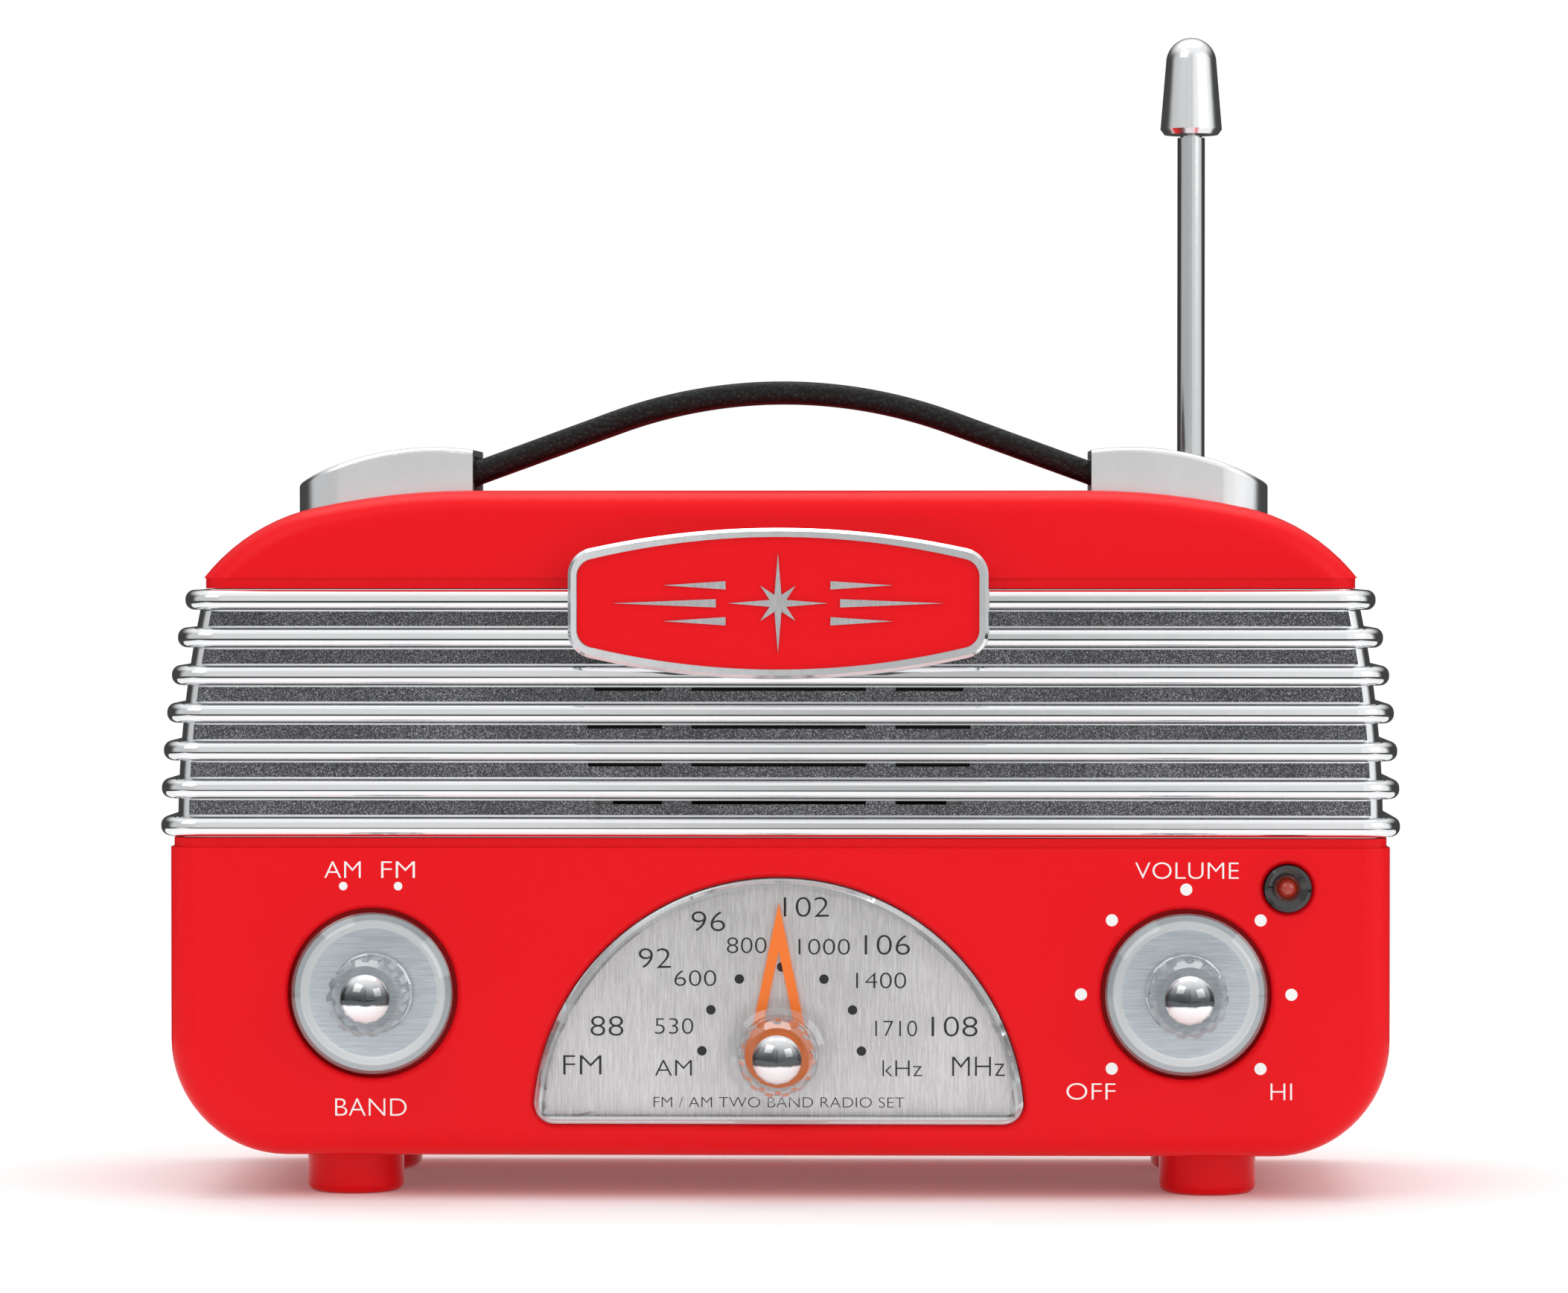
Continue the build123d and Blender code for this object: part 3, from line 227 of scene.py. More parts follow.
def makeChrome(name, roughness, shade=1.0):
    finish, wire = startFinish(name, chromeValues["bright"])
    haze = noise(wire, chromeValues["hazeScale"], 4)
    bright = solid(chromeValues["bright"], shade)
    dull = solid(chromeValues["dull"], shade)
    ripple = noise(wire, 160, 2) + noise(wire, 1800, 1) * 0.08
    return closeFinish(finish, wire, {
        "Base Color": blendColours(wire, haze, bright, dull),
        "Metallic": 1.0,
        "Roughness": haze * 0.06 + noise(wire, chromeValues["scuffScale"], 2) * 0.05 + (roughness - 0.05),
        "Normal": bumpFrom(wire, ripple, chromeValues["ripple"]),
    })


# The domes' dark band is a painted reflection of the horizon, laid into the base colour; shade is its dark
# colour.
capPaintedReflection = {
    "horizon": -0.30,        # heights on the dome, as shares of its radius
    "horizonSoft": 0.10,
    "fadeFrom": 0.05,
    "fadeTo": 0.95,
    "waver": 0.16,
    "shade": (0.10, 0.11, 0.115, 1),
}


def makeCapChromeWithPaintedReflection(name, node):
    finish, wire = startFinish(name, chromeValues["bright"])
    middle = middleOf(node).z
    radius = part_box(node)[1].z - middle
    height = objectSpot(wire).axes()[2]
    waver = capPaintedReflection["waver"]
    level = (height - middle) / radius + noise(wire, 700, 1) * waver - waver / 2
    horizon = capPaintedReflection["horizon"]
    lower = stepUp(wire, level, horizon, horizon + capPaintedReflection["horizonSoft"])
    paintedBandTop = 1 - stepUp(wire, level, capPaintedReflection["fadeFrom"], capPaintedReflection["fadeTo"])
    # The base colour turns to the painted dark reflection inside the band on the dome.
    return closeFinish(finish, wire, {
        "Base Color": blendColours(wire, lower * paintedBandTop, solid(chromeValues["bright"]), capPaintedReflection["shade"]),
        "Metallic": 1.0,
        "Roughness": noise(wire, chromeValues["scuffScale"], 2) * 0.05 + 0.04,
        "Normal": bumpFrom(wire, noise(wire, 300, 2), 0.00001),
    })


bandValues = {
    "ribCount": 7,
    "ribHeight": 0.0029,
    "ribMargin": 0.0001,     # from the band's edge to its first rib
    "stripShare": 0.40,      # of the pitch from rib to rib
    "floorDepth": 0.00125,   # from the case's front to the strips
    "floorReach": 0.00012,
    "dark": (0.075, 0.077, 0.082),
    "spark": (0.72, 0.73, 0.75),
    "relief": 0.00004,
}


def findStrips(wire):       # 1 on the grainy strips between the ribs, 0 elsewhere
    low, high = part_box("grille_band")
    margin, ribHeight = bandValues["ribMargin"], bandValues["ribHeight"]
    firstRib = low.z + margin + ribHeight / 2
    pitch = (high.z - low.z - 2 * margin - ribHeight) / (bandValues["ribCount"] - 1)
    across, depth, height = objectSpot(wire).axes()
    fromStrip = wire.maths("ABSOLUTE", wire.maths("FRACT", (height - firstRib) / pitch) - 0.5)
    onFloor = wire.maths("COMPARE", depth, frontY + bandValues["floorDepth"], bandValues["floorReach"])
    return onFloor * (fromStrip < bandValues["stripShare"] / 2)


def makeBandChrome():
    finish, wire = startFinish("ribbedBandChrome", chromeValues["bright"])
    strip = findStrips(wire)
    grain = noise(wire, 4200, 3, 0.7)
    grit = noise(wire, 9000, 2, 0.6)
    sparkle = stepUp(wire, grit * 0.55 + grain * 0.45 + noise(wire, 60, 2) * 0.08, 0.52, 0.72)
    stripColour = blendColours(wire, sparkle, solid(bandValues["dark"]), solid(bandValues["spark"]))
    haze = noise(wire, chromeValues["hazeScale"], 4)
    ribColour = blendColours(wire, haze, solid(chromeValues["bright"]), solid(chromeValues["dull"]))
    ribRough = haze * 0.05 + noise(wire, chromeValues["scuffScale"], 2) * 0.04 + 0.05
    relief = noise(wire, 140, 2) * 0.5 * (1 - strip) + strip * (grit * 2.2 + grain * 2.0)
    return closeFinish(finish, wire, {
        "Base Color": blendColours(wire, strip, ribColour, stripColour),
        "Metallic": 1.0,
        "Roughness": ribRough * (1 - strip) + strip * (grain * 0.3 + 0.30),
        "Normal": bumpFrom(wire, relief, bandValues["relief"]),
    })


# Clear acrylic of the dial lens and the knobs: seen through, with a mirror share at the edges.

clearValues = {
    "tint": (0.975, 0.982, 0.985, 1),
    "shine": (0.9, 0.92, 0.93, 1),
    "ior": 1.49,
    "edgeBlend": 0.35,
    "bevelWide": 0.0013,
    "bevelInner": 0.7,       # where the bevel is at its full shine, as a share of its width
    "bevelShine": 0.55,
}


def lensBevel(wire):
    low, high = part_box("dial_lens")
    radius = (high.x - low.x) / 2
    across, depth, height = objectSpot(wire).axes()
    reach = distanceFrom(wire, across, height - (high.z - radius))
    wide = clearValues["bevelWide"]
    inner = clearValues["bevelInner"] * wide
    arch = stepUp(wire, reach, radius - wide, radius - inner)
    sill = 1 - stepUp(wire, height, low.z + inner, low.z + wide)
    return wire.maths("MAXIMUM", arch, sill) * clearValues["bevelShine"]


def makeClear(name, mirrorShare, edgeShare, findBevel=None):
    finish, wire = startFinish(name, clearValues["tint"][:3])
    flow = bumpFrom(wire, noise(wire, 120, 2), 0.00002)
    edge = wire.node("ShaderNodeLayerWeight", {}, {"Blend": clearValues["edgeBlend"], "Normal": flow}, 1)
    mirror = wire.node("ShaderNodeFresnel", {}, {"IOR": clearValues["ior"], "Normal": flow})
    share = mirror * mirrorShare + edge * edgeShare
    if findBevel:
        share = share + findBevel(wire)
    through = wire.node("ShaderNodeBsdfTransparent", {}, {"Color": clearValues["tint"]})
    shine = wire.node("ShaderNodeBsdfPrincipled", {}, {
        "Base Color": clearValues["shine"],
        "Metallic": 1.0,
        "Roughness": noise(wire, 500, 2) * 0.06 + 0.02,
        "Normal": flow,
    })
    both = wire.node("ShaderNodeMixShader", {}, {0: share, 1: through, 2: shine})
    wire.node("ShaderNodeOutputMaterial", {}, {"Surface": both})
    return finish


# Brushed metals: streaks are noise squeezed by stretch, a larger number for a finer streak.

brushedMetals = {
    "dialAluminium": {
        "stretch": (6200, 6200, 300),
        "light": (0.88, 0.85, 0.85),
        "dark": (0.60, 0.575, 0.575),
        "roughness": 0.42,
    },
    "silverPrint": {
        "stretch": (3000, 3000, 600),
        "light": (0.78, 0.78, 0.79),
        "dark": (0.60, 0.60, 0.62),
        "roughness": 0.30,
    },
    "zincSteel": {
        "stretch": (900, 900, 900),
        "light": (0.62, 0.62, 0.62),
        "dark": (0.42, 0.42, 0.43),
        "roughness": 0.35,
    },
    "copperWire": {
        "stretch": (6000, 300, 300),
        "light": (0.72, 0.30, 0.13),
        "dark": (0.40, 0.14, 0.06),
        "roughness": 0.35,
    },
}

brushRelief = 0.000012


def brushMarks(wire, stretch, light, dark):
    streak = noise(wire, 1, 3, 0.6, objectSpot(wire, stretch))
    fine = noise(wire, 1, 2, 0.6, objectSpot(wire, [3 * side for side in stretch]))
    cloud = noise(wire, 70, 3)
    share = stepUp(wire, streak * 0.5 + fine * 0.3 + cloud * 0.2, 0.34, 0.66)
    colour = blendColours(wire, share, solid(dark), solid(light))
    return colour, streak * 0.16 + cloud * 0.08, streak + fine * 0.6


def makeBrushed(name, stretch, light, dark, roughness):
    finish, wire = startFinish(name, light)
    colour, rough, relief = brushMarks(wire, stretch, light, dark)
    return closeFinish(finish, wire, {
        "Base Color": colour,
        "Metallic": 1.0,
        "Roughness": rough + (roughness - 0.12),
        "Normal": bumpFrom(wire, relief, brushRelief),
    })


# The side knobs' discs: brushed inside a bright ring and a darker edge.

discValues = {
    "stretch": (150, 3000, 3800),
    "light": (0.85, 0.91, 0.95),
    "dark": (0.58, 0.64, 0.68),
    "ring": (1.0, 1.0, 1.0, 1),
    "edge": (0.60, 0.65, 0.68, 1),
    "roughness": 0.26,
    "ringFrom": 0.0092,
    "ringSoft": 0.0004,
    "edgeFrom": 0.0105,
    "edgeSoft": 0.0002,
}


def makeDiscMetal():
    finish, wire = startFinish("discAluminium", discValues["light"])
    knob = middleOf("volume_knob_disc")
    across, depth, height = objectSpot(wire).axes()
    reach = distanceFrom(wire, wire.maths("ABSOLUTE", across) - knob.x, height - knob.z)
    ringFrom, edgeFrom = discValues["ringFrom"], discValues["edgeFrom"]
    ring = stepUp(wire, reach, ringFrom, ringFrom + discValues["ringSoft"])
    edge = stepUp(wire, reach, edgeFrom, edgeFrom + discValues["edgeSoft"])
    marks = brushMarks(wire, discValues["stretch"], discValues["light"], discValues["dark"])
    brushed, rough, relief = marks
    brightRingAndEdge = blendColours(wire, edge, discValues["ring"], discValues["edge"])
    return closeFinish(finish, wire, {
        "Base Color": blendColours(wire, ring, brushed, brightRingAndEdge),
        "Metallic": 1.0,
        "Roughness": (rough + discValues["roughness"]) * (1 - ring * 0.5),
        "Normal": bumpFrom(wire, relief * (1 - ring), brushRelief),
    })


# Plain plastics and other dull or coated things.

plastics = {
    # The pointer's glow is painted light that brightens the orange under the dial lens; the pointer is no
    # lamp.
    "orangePlastic": {"colour": (1.0, 0.20, 0.012), "roughness": 0.4, "glow": 0.22},
    "blackGloss": {"colour": (0.008, 0.008, 0.009), "roughness": 0.12, "coat": 0.5},
    "blackMatte": {
        "colour": (0.018, 0.018, 0.02),
        "roughness": 0.55,
        "grainScale": 3500,
        "grainDepth": 0.00003,
    },
    "paperCone": {
        "colour": (0.02, 0.02, 0.021),
        "roughness": 0.85,
        "grainScale": 2200,
        "grainDepth": 0.00008,
    },
    "boardLaminate": {"colour": (0.22, 0.12, 0.035), "roughness": 0.5},
    "naturalNylon": {"colour": (0.68, 0.66, 0.60), "roughness": 0.45},
    "ferriteGrey": {
        "colour": (0.045, 0.042, 0.042),
        "roughness": 0.6,
        "grainScale": 5000,
        "grainDepth": 0.00004,
    },
    "cellSleeve": {"colour": (0.03, 0.05, 0.12), "roughness": 0.25, "coat": 0.4},
}


def makePlastic(name, colour, roughness, grainScale=2500, grainDepth=0.00001, coat=0.0, glow=0.0):
    finish, wire = startFinish(name, colour)
    cloud = noise(wire, 120, 3)
    grain = noise(wire, grainScale, 2)
    return closeFinish(finish, wire, {
        "Base Color": blendColours(wire, cloud, solid(colour), solid(colour, 0.8)),
        "Roughness": cloud * 0.08 + grain * 0.06 + (roughness - 0.07),
        "Coat Weight": coat,
        # Emission here is painted light; only the orange pointer has a glow above zero.
        "Emission Color": solid(colour),
        "Emission Strength": glow,
        "Normal": bumpFrom(wire, grain, grainDepth),
    })


lampValues = {
    "light": (0.42, 0.035, 0.02),
    "dark": (0.22, 0.012, 0.01),
    "glowColour": (0.9, 0.08, 0.03, 1),
    "glow": 0.08,
    "coat": 0.6,
}


def makeLampRed():
    finish, wire = startFinish("ledRed", lampValues["light"])
    cloud = noise(wire, 500, 2)
    return closeFinish(finish, wire, {
        "Base Color": blendColours(wire, cloud, solid(lampValues["light"]), solid(lampValues["dark"])),
        "Roughness": cloud * 0.06 + 0.10,
        "Coat Weight": lampValues["coat"],
        "Emission Color": lampValues["glowColour"],
        "Emission Strength": lampValues["glow"],
        "Normal": bumpFrom(wire, cloud, 0.00002),
    })


leatherValues = {
    "black": (0.006, 0.0062, 0.0065),
    # A lighter tone on the pebble tops; its slight cyan offsets the red light that the case bounces onto
    # the strap.
    "pebbleTopTone": (0.034, 0.048, 0.050),
    "pebble": 1500,
    "relief": 0.00016,
    "sheen": 0.28,
}


def makeLeather():
    finish, wire = startFinish("strapLeather", leatherValues["black"])
    warp = noise(wire, 600, 2)
    pebble = {"Vector": objectSpot(wire), "Scale": leatherValues["pebble"], "Smoothness": 0.6}
    cells = wire.node("ShaderNodeTexVoronoi", {"feature": "SMOOTH_F1"}, pebble)
    creases = noise(wire, 1, 3, 0.6, objectSpot(wire, (260, 900, 700)))
    pores = noise(wire, 4200, 3, 0.6)
    relief = cells * 0.9 + pores * 0.35 + creases * 0.6 + warp * 0.3
    # Lighter on the pebble tops, in the cyan tone that offsets the red bounced light.
    pebbleTopShare = stepUp(wire, 1 - cells + pores * 0.5, 0.75, 1.25) * 0.6
    return closeFinish(finish, wire, {
        "Base Color": blendColours(wire, pebbleTopShare, solid(leatherValues["black"]), solid(leatherValues["pebbleTopTone"])),
        "Roughness": pores * 0.25 + warp * 0.1 + 0.38,
        "Specular IOR Level": leatherValues["sheen"],
        "Normal": bumpFrom(wire, relief, leatherValues["relief"]),
    })


weaveValues = {
    "yarns": 600,
    "gap": (0.006, 0.006, 0.006),
    "yarn": (0.03, 0.03, 0.03),
    "relief": 0.00008,
}


def makeWeave():
    finish, wire = startFinish("speakerCloth", weaveValues["yarn"])
    waves = [
        wire.node(
            "ShaderNodeTexWave",
            {"wave_type": "BANDS", "bands_direction": direction},
            {"Vector": objectSpot(wire), "Scale": weaveValues["yarns"]},
        )
        for direction in "XZ"
    ]
    knots = waves[0] * waves[1]
    return closeFinish(finish, wire, {
        "Base Color": blendColours(wire, knots, solid(weaveValues["gap"]), solid(weaveValues["yarn"])),
        "Roughness": 0.9,
        "Sheen Weight": 0.2,
        "Normal": bumpFrom(wire, knots, weaveValues["relief"]),
    })


def makeInk(name, colour):
    finish, wire = startFinish(name, colour)
    grain = noise(wire, 3000, 2)
    return closeFinish(finish, wire, {
        "Base Color": blendColours(wire, grain, solid(colour), solid(colour, 0.93)),
        "Roughness": grain * 0.1 + 0.4,
        "Normal": bumpFrom(wire, grain, 0.000004),
    })


finishes = {
    "redGloss": makeRedGloss(),
    "chrome": makeChrome("mirrorChrome", 0.07),
    "satinChrome": makeChrome("satinChrome", 0.20),
    "rodChrome": makeChrome("rodChrome", 0.16, 0.72),
    "bandChrome": makeBandChrome(),
    "sideCapPaintedReflectionChrome": makeCapChromeWithPaintedReflection("sideCapPaintedReflectionChrome", "band_knob_cap"),
    "tuningCapPaintedReflectionChrome": makeCapChromeWithPaintedReflection("tuningCapPaintedReflectionChrome", "tuning_knob_cap"),
    "clearSheet": makeClear("clearSheet", 0.15, 0.12, lensBevel),
    "clearKnob": makeClear("clearKnob", 1.8, 0.42),
    "discAluminium": makeDiscMetal(),
    "ledRed": makeLampRed(),
    "leather": makeLeather(),
    "weave": makeWeave(),
    "whiteInk": makeInk("whitePrint", (0.93, 0.93, 0.92)),
    "blackInk": makeInk("blackPrint", (0.012, 0.012, 0.013)),
}
for metal, values in brushedMetals.items():
    finishes[metal] = makeBrushed(metal, **values)
for plastic, values in plastics.items():
    finishes[plastic] = makePlastic(plastic, **values)

# Which finish goes on which nodes; every node that isn't listed is zinc-plated steel.

finishNodes = {
    "redGloss": ["lower_case", "top_cover", "rear_cover", "battery_door", "feet", "badge_plate"],
    "bandChrome": ["grille_band"],
    "chrome": ["badge_frame", "antenna_swivel"],
    "satinChrome": ["handle_mount_left", "handle_mount_right", "antenna_tip"],
    "rodChrome": ["antenna_section_%d" % number for number in (1, 2, 3, 4)],
    "tuningCapPaintedReflectionChrome": ["tuning_knob_cap"],
    "sideCapPaintedReflectionChrome": ["band_knob_cap", "volume_knob_cap"],
    "clearSheet": ["dial_lens"],
    "clearKnob": ["tuning_knob", "band_knob", "volume_knob"],
    "dialAluminium": ["dial_plate"],
    "discAluminium": ["band_knob_disc", "volume_knob_disc"],
    "silverPrint": ["badge_ornament"],
    "orangePlastic": ["pointer"],
    "blackGloss": ["led_bezel"],
    "ledRed": ["led_lamp"],
    "weave": ["speaker_scrim"],
    "paperCone": ["speaker_cone", "speaker_dust_cap"],
    "ferriteGrey": ["speaker_magnet", "ferrite_rod"],
    "copperWire": ["ferrite_coil"],
    "boardLaminate": ["circuit_board"],
    "blackMatte": ["audio_chip", "volume_control"],
    "cellSleeve": ["electrolytic_capacitors", "battery_cells"],
    "naturalNylon": ["tuning_capacitor", "ferrite_holders", "antenna_bush"],
}


def applyFinishes():
    chosen = {node: finish for finish, listed in finishNodes.items() for node in listed}
    for name, node in nodes.items():
        node.data.materials.clear()
        node.data.materials.append(finishes[chosen.get(name, "zincSteel")])
    print("finishes on the frame's nodes: done")


# Modelling helpers.

def deselectAll():
    if bpy.context.object and bpy.context.object.mode != "OBJECT":
        bpy.ops.object.mode_set(mode="OBJECT")
    bpy.ops.object.select_all(action="DESELECT")


def pick(piece):
    deselectAll()
    piece.select_set(True)
    bpy.context.view_layer.objects.active = piece


def useModifier(piece, kind, settings):
    pick(piece)
    modifier = piece.modifiers.new(kind.lower(), kind)
    for key, value in settings.items():
        setattr(modifier, key, value)
    bpy.ops.object.modifier_apply(modifier=modifier.name)


def settle(piece, name, finish, body):
    pick(piece)
    bpy.ops.object.transform_apply(location=True, rotation=True, scale=True)
    piece.name = name
    piece.data.name = name
    piece.data.materials.clear()
    piece.data.materials.append(finishes[finish])
    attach(piece, body)
    return piece


# The strap: half of it is swept from the crown down to the mount, then mirrored.

strapValues = {
    "thickness": 0.0032,
    "slope": 20.0,
    "bendRadius": 0.009,
    "endAt": 0.0505,         # from the middle, inside the mount
    "leastEnd": 0.0002,
    "edgeRound": 0.0012,
    "edgeSteps": 4,
    "crownSteps": 18,
    "riseSteps": 8,
    "bendSteps": 5,
    "weld": 0.00001,
}


def buildStrap():
    low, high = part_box("handle_strap")
    thickness = strapValues["thickness"]
    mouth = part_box("handle_mount_right")[0].x
    slope = radians(strapValues["slope"])
    endZ = low.z + thickness / 2
    crownZ = high.z - thickness / 2
    bendX = mouth + thickness
    peakZ = endZ + bendX * tan(slope)
    crownRadius = (peakZ - crownZ) / (1 / cos(slope) - 1)
    bendRadius = strapValues["bendRadius"]
    bendReach = bendRadius * tan(slope / 2)
    middleY = (low.y + high.y) / 2

    bpy.ops.mesh.primitive_plane_add(size=1, location=(0, middleY, crownZ), rotation=(0, pi / 2, 0))
    strap = bpy.context.object
    strap.scale = (thickness, high.y - low.y, 1)
    bpy.ops.object.transform_apply(location=True, rotation=True, scale=True)
    bpy.ops.object.mode_set(mode="EDIT")
    bpy.ops.mesh.select_all(action="SELECT")
    edge = {"offset": strapValues["edgeRound"], "segments": strapValues["edgeSteps"]}
    bpy.ops.mesh.bevel(affect="VERTICES", **edge)
    bpy.ops.mesh.select_all(action="SELECT")
    centre = (0, middleY, crownZ - crownRadius)
    bpy.ops.mesh.spin(steps=strapValues["crownSteps"], angle=-slope, center=centre, axis=(0, 1, 0))

    crownEnd = Vector((crownRadius * sin(slope), 0, crownZ - crownRadius * (1 - cos(slope))))
    bendStart = Vector((bendX, 0, endZ)) - Vector((cos(slope), 0, -sin(slope))) * bendReach
    rise = (bendStart - crownEnd) / strapValues["riseSteps"]
    for index in range(strapValues["riseSteps"]):
        bpy.ops.mesh.extrude_region_move(TRANSFORM_OT_translate={"value": rise})
    hub = bendStart + Vector((sin(slope), 0, cos(slope))) * bendRadius
    centre = (hub.x, middleY, hub.z)
    bpy.ops.mesh.spin(steps=strapValues["bendSteps"], angle=slope, center=centre, axis=(0, 1, 0))
    lastRun = max(strapValues["endAt"] - (bendX + bendReach), strapValues["leastEnd"])
    bpy.ops.mesh.extrude_region_move(TRANSFORM_OT_translate={"value": (lastRun, 0, 0)})
    bpy.ops.mesh.select_all(action="SELECT")
    bpy.ops.mesh.remove_doubles(threshold=strapValues["weld"])
    bpy.ops.mesh.select_all(action="DESELECT")
    bpy.ops.object.mode_set(mode="OBJECT")
    for face in strap.data.polygons:       # the starting face, in the middle of the strap
        face.select = abs(face.center.x) < 0.0001 and abs(face.normal.x) > 0.9
    bpy.ops.object.mode_set(mode="EDIT")
    bpy.ops.mesh.select_mode(type="FACE")
    bpy.ops.mesh.delete(type="FACE")
    bpy.ops.object.mode_set(mode="OBJECT")
    useModifier(strap, "MIRROR", {"use_axis": (True, False, False), "merge_threshold": 0.00005})
    bpy.ops.object.mode_set(mode="EDIT")
    bpy.ops.mesh.select_all(action="SELECT")
    bpy.ops.mesh.normals_make_consistent(inside=False)
    bpy.ops.object.mode_set(mode="OBJECT")
    bpy.ops.object.shade_smooth_by_angle(angle=radians(50))
    settle(strap, "carryingStrap", "leather", "root")
    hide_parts("handle_strap")
    print("carrying strap: done")


# Printed lettering and dots: thin films of ink that lie on the face behind them.

inkValues = {
    "slimming": -0.015,      # of the font's strokes
    "curveSteps": 6,
    "textDepth": 0.02,       # each way, before the text is scaled
    "film": 0.00004,
    "proud": 0.00001,        # of the face, to the middle of the film
    "dotFilm": 0.00005,
    "dotBevel": 0.00002,
    "dotSides": 32,
}


def letter(text, x, z, height, width, frontAt):
    bpy.ops.object.text_add()
    words = bpy.context.object
    words.data.body = text
    words.data.align_x = "CENTER"
    words.data.offset = inkValues["slimming"]
    words.data.resolution_u = inkValues["curveSteps"]
    words.data.extrude = inkValues["textDepth"]
    pick(words)
    bpy.ops.object.convert(target="MESH")
    words = bpy.context.object
    corners = [vertex.co for vertex in words.data.vertices]
    left = min(point.x for point in corners)
    right = max(point.x for point in corners)
    bottom = min(point.y for point in corners)
    top = max(point.y for point in corners)
    thin = inkValues["film"] / (2 * inkValues["textDepth"])
    shift = Matrix.Translation((-(left + right) / 2, -(bottom + top) / 2, 0))
    size = Matrix.Diagonal((width / (right - left), height / (top - bottom), thin, 1))
    stand = Matrix.Rotation(pi / 2, 4, "X")
    words.data.transform(Matrix.Translation((x, frontAt, z)) @ stand @ size @ shift)
    return words


def dotsAt(spots, radius, frontAt):
    (firstX, firstZ), *others = spots
    bpy.ops.mesh.primitive_cylinder_add(
        vertices=inkValues["dotSides"],
        radius=radius,
        depth=inkValues["dotFilm"],
        location=(firstX, frontAt, firstZ),
        rotation=(pi / 2, 0, 0),
    )
    first = bpy.context.object
    useModifier(first, "BEVEL", {"width": inkValues["dotBevel"], "segments": 2})
    dots = [first]
    for x, z in others:
        pick(first)
        bpy.ops.object.duplicate_move(TRANSFORM_OT_translate={"value": (x - firstX, 0, z - firstZ)})
        dots.append(bpy.context.object)
    return dots


def joinAs(pieces, name, finish):
    deselectAll()
    for piece in pieces:
        piece.select_set(True)
    bpy.context.view_layer.objects.active = pieces[0]
    bpy.ops.object.join()
    return settle(bpy.context.object, name, finish, "root")


# Lettering on the case: text, x, z, height, width.

frontPrint = {
    "words": [
        ("AM", -0.0635, 0.0482, 0.0024, 0.0053),
        ("FM", -0.0554, 0.0482, 0.0024, 0.0049),
        ("BAND", -0.0594, 0.0136, 0.0025, 0.0104),
        ("VOLUME", 0.0593, 0.0482, 0.0024, 0.0150),
        ("OFF", 0.0454, 0.0161, 0.0024, 0.0071),
        ("HI", 0.0730, 0.0161, 0.0024, 0.0031),
    ],
    "bandDots": [(-0.0634, 0.0458), (-0.0554, 0.0458)],
    "bandDotRadius": 0.00062,
    "volumeDotRadius": 0.00088,
    "volumeDotRing": 0.01525,
    "volumeDotAngles": range(225, -46, -45),
}


def buildFrontPrint():
    surface = frontY - inkValues["proud"]
    pieces = [letter(*word, surface) for word in frontPrint["words"]]
    pieces += dotsAt(frontPrint["bandDots"], frontPrint["bandDotRadius"], surface)
    volume = middleOf("volume_knob")
    ring = frontPrint["volumeDotRing"]
    angles = [radians(angle) for angle in frontPrint["volumeDotAngles"]]
    spots = [(volume.x + ring * cos(angle), volume.z + ring * sin(angle)) for angle in angles]
    pieces += dotsAt(spots, frontPrint["volumeDotRadius"], surface)
    joinAs(pieces, "frontPrint", "whiteInk")
    print("front print: done")


# Lettering on the dial, measured from the tuning shaft: text, x, z, height, width.

dialPrint = {
    "words": [
        ("88", -0.0251, 0.0039, 0.0029, 0.0048),
        ("92", -0.0181, 0.0138, 0.0029, 0.0047),
        ("96", -0.0103, 0.0192, 0.0029, 0.0049),
        ("102", 0.0040, 0.0213, 0.0029, 0.0066),
        ("106", 0.0158, 0.0158, 0.0029, 0.0066),
        ("108", 0.0256, 0.0039, 0.0029, 0.0067),
        ("FM", -0.0287, -0.0018, 0.0028, 0.0056),
        ("MHz", 0.0291, -0.0019, 0.0028, 0.0077),
        ("530", -0.0153, 0.0039, 0.0023, 0.0056),
        ("600", -0.0122, 0.0109, 0.0023, 0.0061),
        ("800", -0.0047, 0.0157, 0.0023, 0.0058),
        ("1000", 0.0066, 0.0155, 0.0023, 0.0075),
        ("1400", 0.0149, 0.0106, 0.0023, 0.0073),
        ("1710", 0.0171, 0.0036, 0.0023, 0.0061),
        ("AM", -0.0154, -0.0022, 0.0023, 0.0054),
        ("kHz", 0.0180, -0.0022, 0.0023, 0.0058),
        ("FM / AM TWO BAND RADIO SET", 0.0, -0.0072, 0.0015, 0.0366),
    ],
    "dotAngles": (-3, 27.5, 58, 90, 122, 152.5, 183),
    "dotRing": 0.01165,
    "dotRadius": 0.00070,
    "dotShift": (0.0004, 0.0009),
}


def buildDialPrint():
    axis = middleOf("tuning_shaft")
    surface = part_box("dial_plate")[0].y - inkValues["proud"]
    pieces = [
        letter(text, axis.x + x, axis.z + z, height, width, surface)
        for text, x, z, height, width in dialPrint["words"]
    ]
    middleX = axis.x + dialPrint["dotShift"][0]
    middleZ = axis.z + dialPrint["dotShift"][1]
    ring = dialPrint["dotRing"]
    angles = [radians(angle) for angle in dialPrint["dotAngles"]]
    spots = [(middleX + ring * cos(angle), middleZ + ring * sin(angle)) for angle in angles]
    pieces += dotsAt(spots, dialPrint["dotRadius"], surface)
    joinAs(pieces, "dialPrint", "blackInk")
    print("dial print: done")


# Floor: paper near the radio, fading into even white further out.

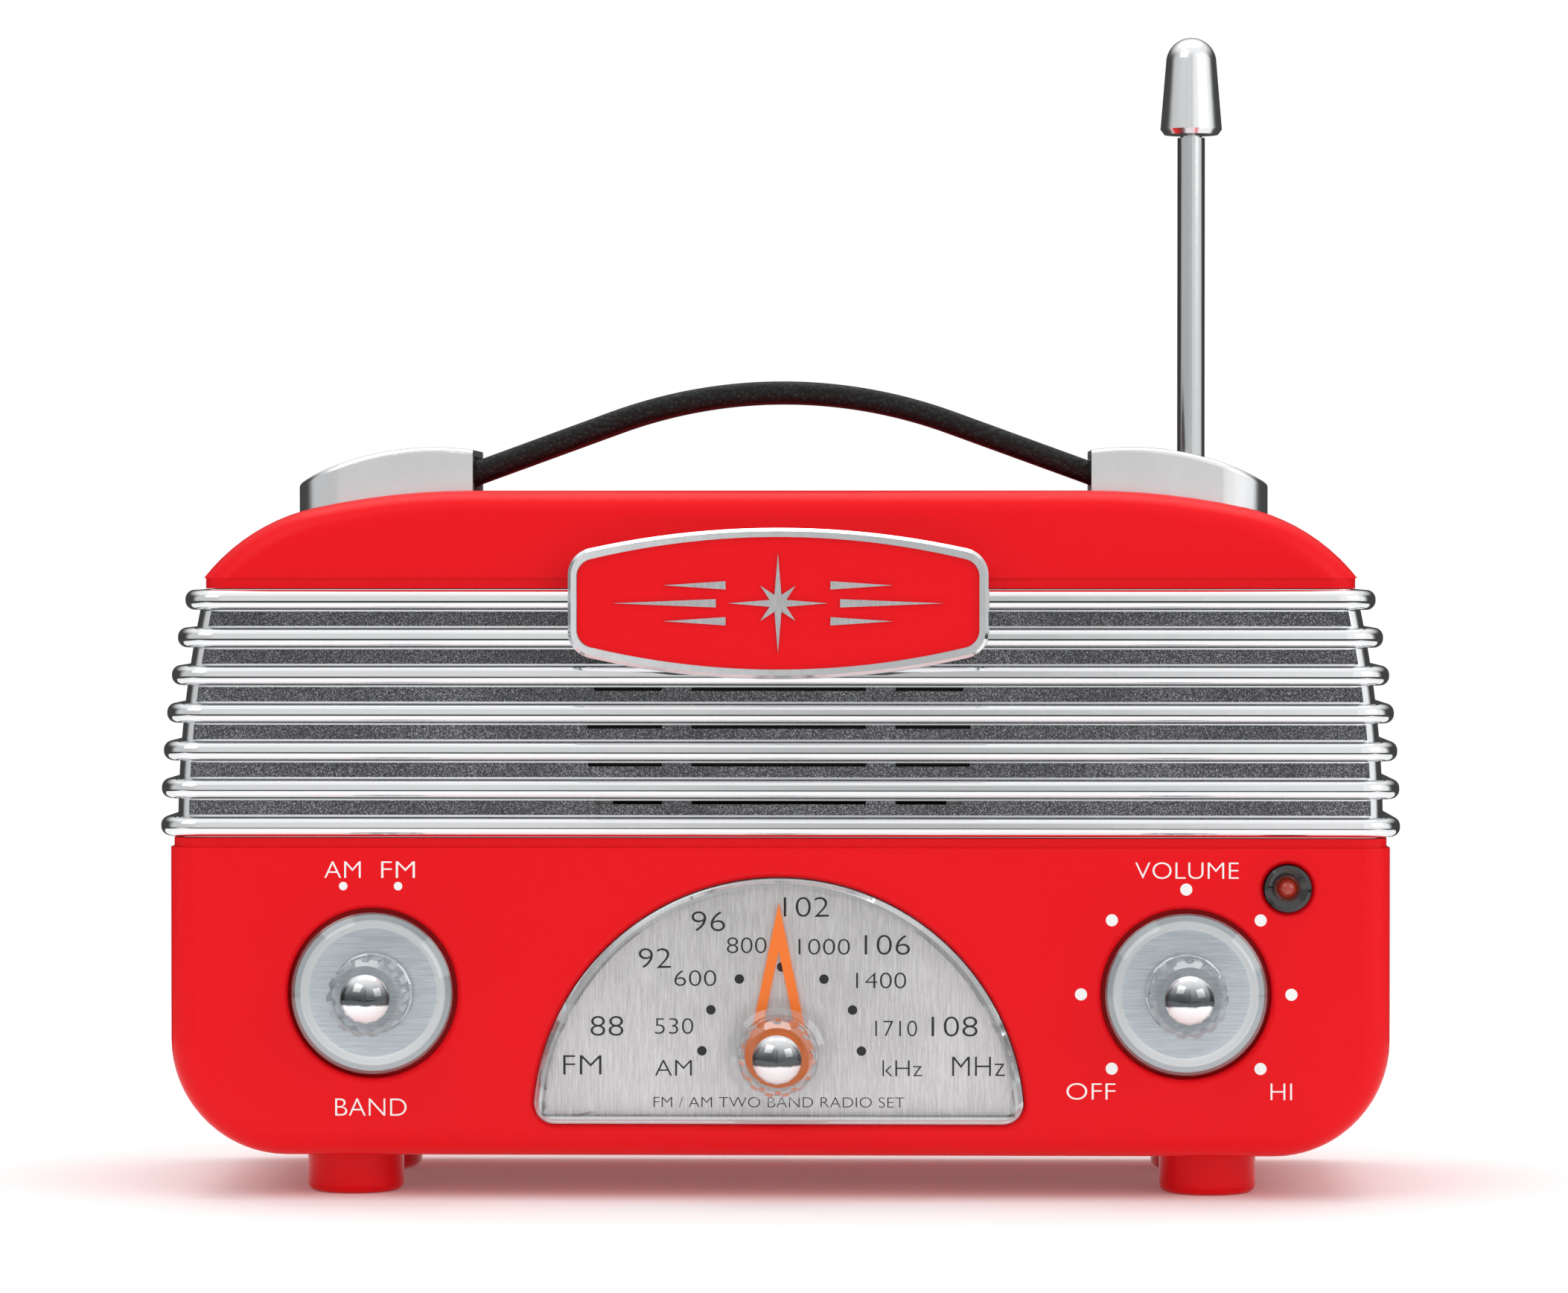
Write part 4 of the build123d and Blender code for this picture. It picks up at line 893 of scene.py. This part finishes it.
floorSetup = {
    "paper": (0.93, 0.93, 0.93, 1),
    "grain": (0.87, 0.87, 0.87, 1),
    "lift": (0.09, 0.09, 0.09, 1),       # a little glow that softens the shadows
    "black": (0, 0, 0, 1),
    "white": (1, 1, 1, 1),
    "fadeFrom": 0.16,
    "fadeTo": 0.42,
    "size": 8,
    "cardSize": (0.60, 0.30),
    "cardAt": (0, -0.06, 0.0001),
}


def makeFloorFinish():
    finish, wire = startFinish("studioPaper", floorSetup["paper"][:3])
    grain = noise(wire, 300, 2)
    reach = wire.node("ShaderNodeVectorMath", {"operation": "LENGTH"}, {0: objectSpot(wire)}, 1)
    fade = stepUp(wire, reach, floorSetup["fadeFrom"], floorSetup["fadeTo"])
    paper = blendColours(wire, grain * 0.3, floorSetup["paper"], floorSetup["grain"])
    return closeFinish(finish, wire, {
        "Base Color": blendColours(wire, fade, paper, floorSetup["black"]),
        "Roughness": 0.85,
        "Specular IOR Level": 0.0,
        "Emission Color": blendColours(wire, fade, floorSetup["lift"], floorSetup["white"]),
        "Emission Strength": 1.0,
    })


def buildFloor():
    paper = makeFloorFinish()
    bpy.ops.mesh.primitive_plane_add(size=floorSetup["size"], location=(0, 0, 0))
    floor = bpy.context.object
    floor.name = "studioFloor"
    floor.data.materials.append(paper)
    floor.visible_glossy = False
    bpy.ops.mesh.primitive_plane_add(size=1, location=floorSetup["cardAt"])
    card = bpy.context.object       # seen only in reflections
    card.name = "studioCard"
    card.scale = (*floorSetup["cardSize"], 1)
    card.data.materials.append(paper)
    card.visible_camera = False
    card.visible_diffuse = False
    card.visible_shadow = False
    card.visible_transmission = False
    print("floor: done")


# Softboxes: place, size, power.

lightSetup = {
    "target": (0, 0, 0.06),
    "softboxes": {
        "keySoftbox": ((-0.9, -1.1, 1.2), (1.0, 1.0), 3.2),
        "fillSoftbox": ((1.2, -1.0, 0.7), (0.9, 0.9), 3.0),
        "topSoftbox": ((0, 0.2, 1.3), (1.2, 0.8), 6),
    },
}


def buildLights():
    for name, (spot, size, power) in lightSetup["softboxes"].items():
        bpy.ops.object.light_add(type="AREA", location=spot)
        box = bpy.context.object
        box.name = name
        box.data.shape = "RECTANGLE"
        box.data.size, box.data.size_y = size
        box.data.energy = power
        aimAt(box, lightSetup["target"])
    print("lights:", len(lightSetup["softboxes"]), "softboxes")


# Sky: white where it is seen directly; in reflections bright in front and overhead, dark behind.

skySetup = {
    "white": (1, 1, 1, 1),
    "dusk": (0.06, 0.06, 0.06, 1),
    "strength": 0.98,
    "frontEdge": (-0.25, 0.20),          # a pair says where a bright part starts and is full
    "overheadEdge": (0.30, 0.80),
    "tableEdge": (-0.16, -0.05),
    "lensEdge": (0.0, 0.08),
    "lensLevel": 0.55,                   # of the thin dark strip straight in front
    "sideEdge": (-0.5, 0.5),
    "leftLevel": 0.62,
    "rightLevel": 1.07,
}


def buildSky():
    world = bpy.data.worlds.new("studioSky")
    bpy.context.scene.world = world
    world.use_nodes = True
    world.node_tree.nodes.clear()
    wire = Wire(world.node_tree)
    across, ahead, rise = wire.node("ShaderNodeTexCoord", out=0).axes()
    front = stepUp(wire, ahead * -1, *skySetup["frontEdge"])
    overhead = stepUp(wire, rise, *skySetup["overheadEdge"])
    aboveTable = stepUp(wire, rise, *skySetup["tableEdge"])
    lens = skySetup["lensLevel"]
    besideLens = stepUp(wire, wire.maths("ABSOLUTE", across), *skySetup["lensEdge"]) * (1 - lens) + lens
    left = skySetup["leftLevel"]
    sides = stepUp(wire, across, *skySetup["sideEdge"]) * (skySetup["rightLevel"] - left) + left
    level = wire.maths("MAXIMUM", front * besideLens * sides, overhead) * aboveTable
    sky = blendColours(wire, level, skySetup["dusk"], skySetup["white"])
    glow = wire.node("ShaderNodeBackground", {}, {"Color": sky, "Strength": skySetup["strength"]})
    backdrop = wire.node("ShaderNodeBackground", {}, {"Color": skySetup["white"], "Strength": 1.0})
    seenDirectly = wire.node("ShaderNodeLightPath")
    both = wire.node("ShaderNodeMixShader", {}, {0: seenDirectly, 1: glow, 2: backdrop})
    wire.node("ShaderNodeOutputWorld", {}, {"Surface": both})
    bpy.context.scene.view_settings.view_transform = "Standard"
    print("sky: done")


deselectAll()
buildCamera()
applyFinishes()
buildStrap()
buildFrontPrint()
buildDialPrint()
buildFloor()
buildLights()
buildSky()
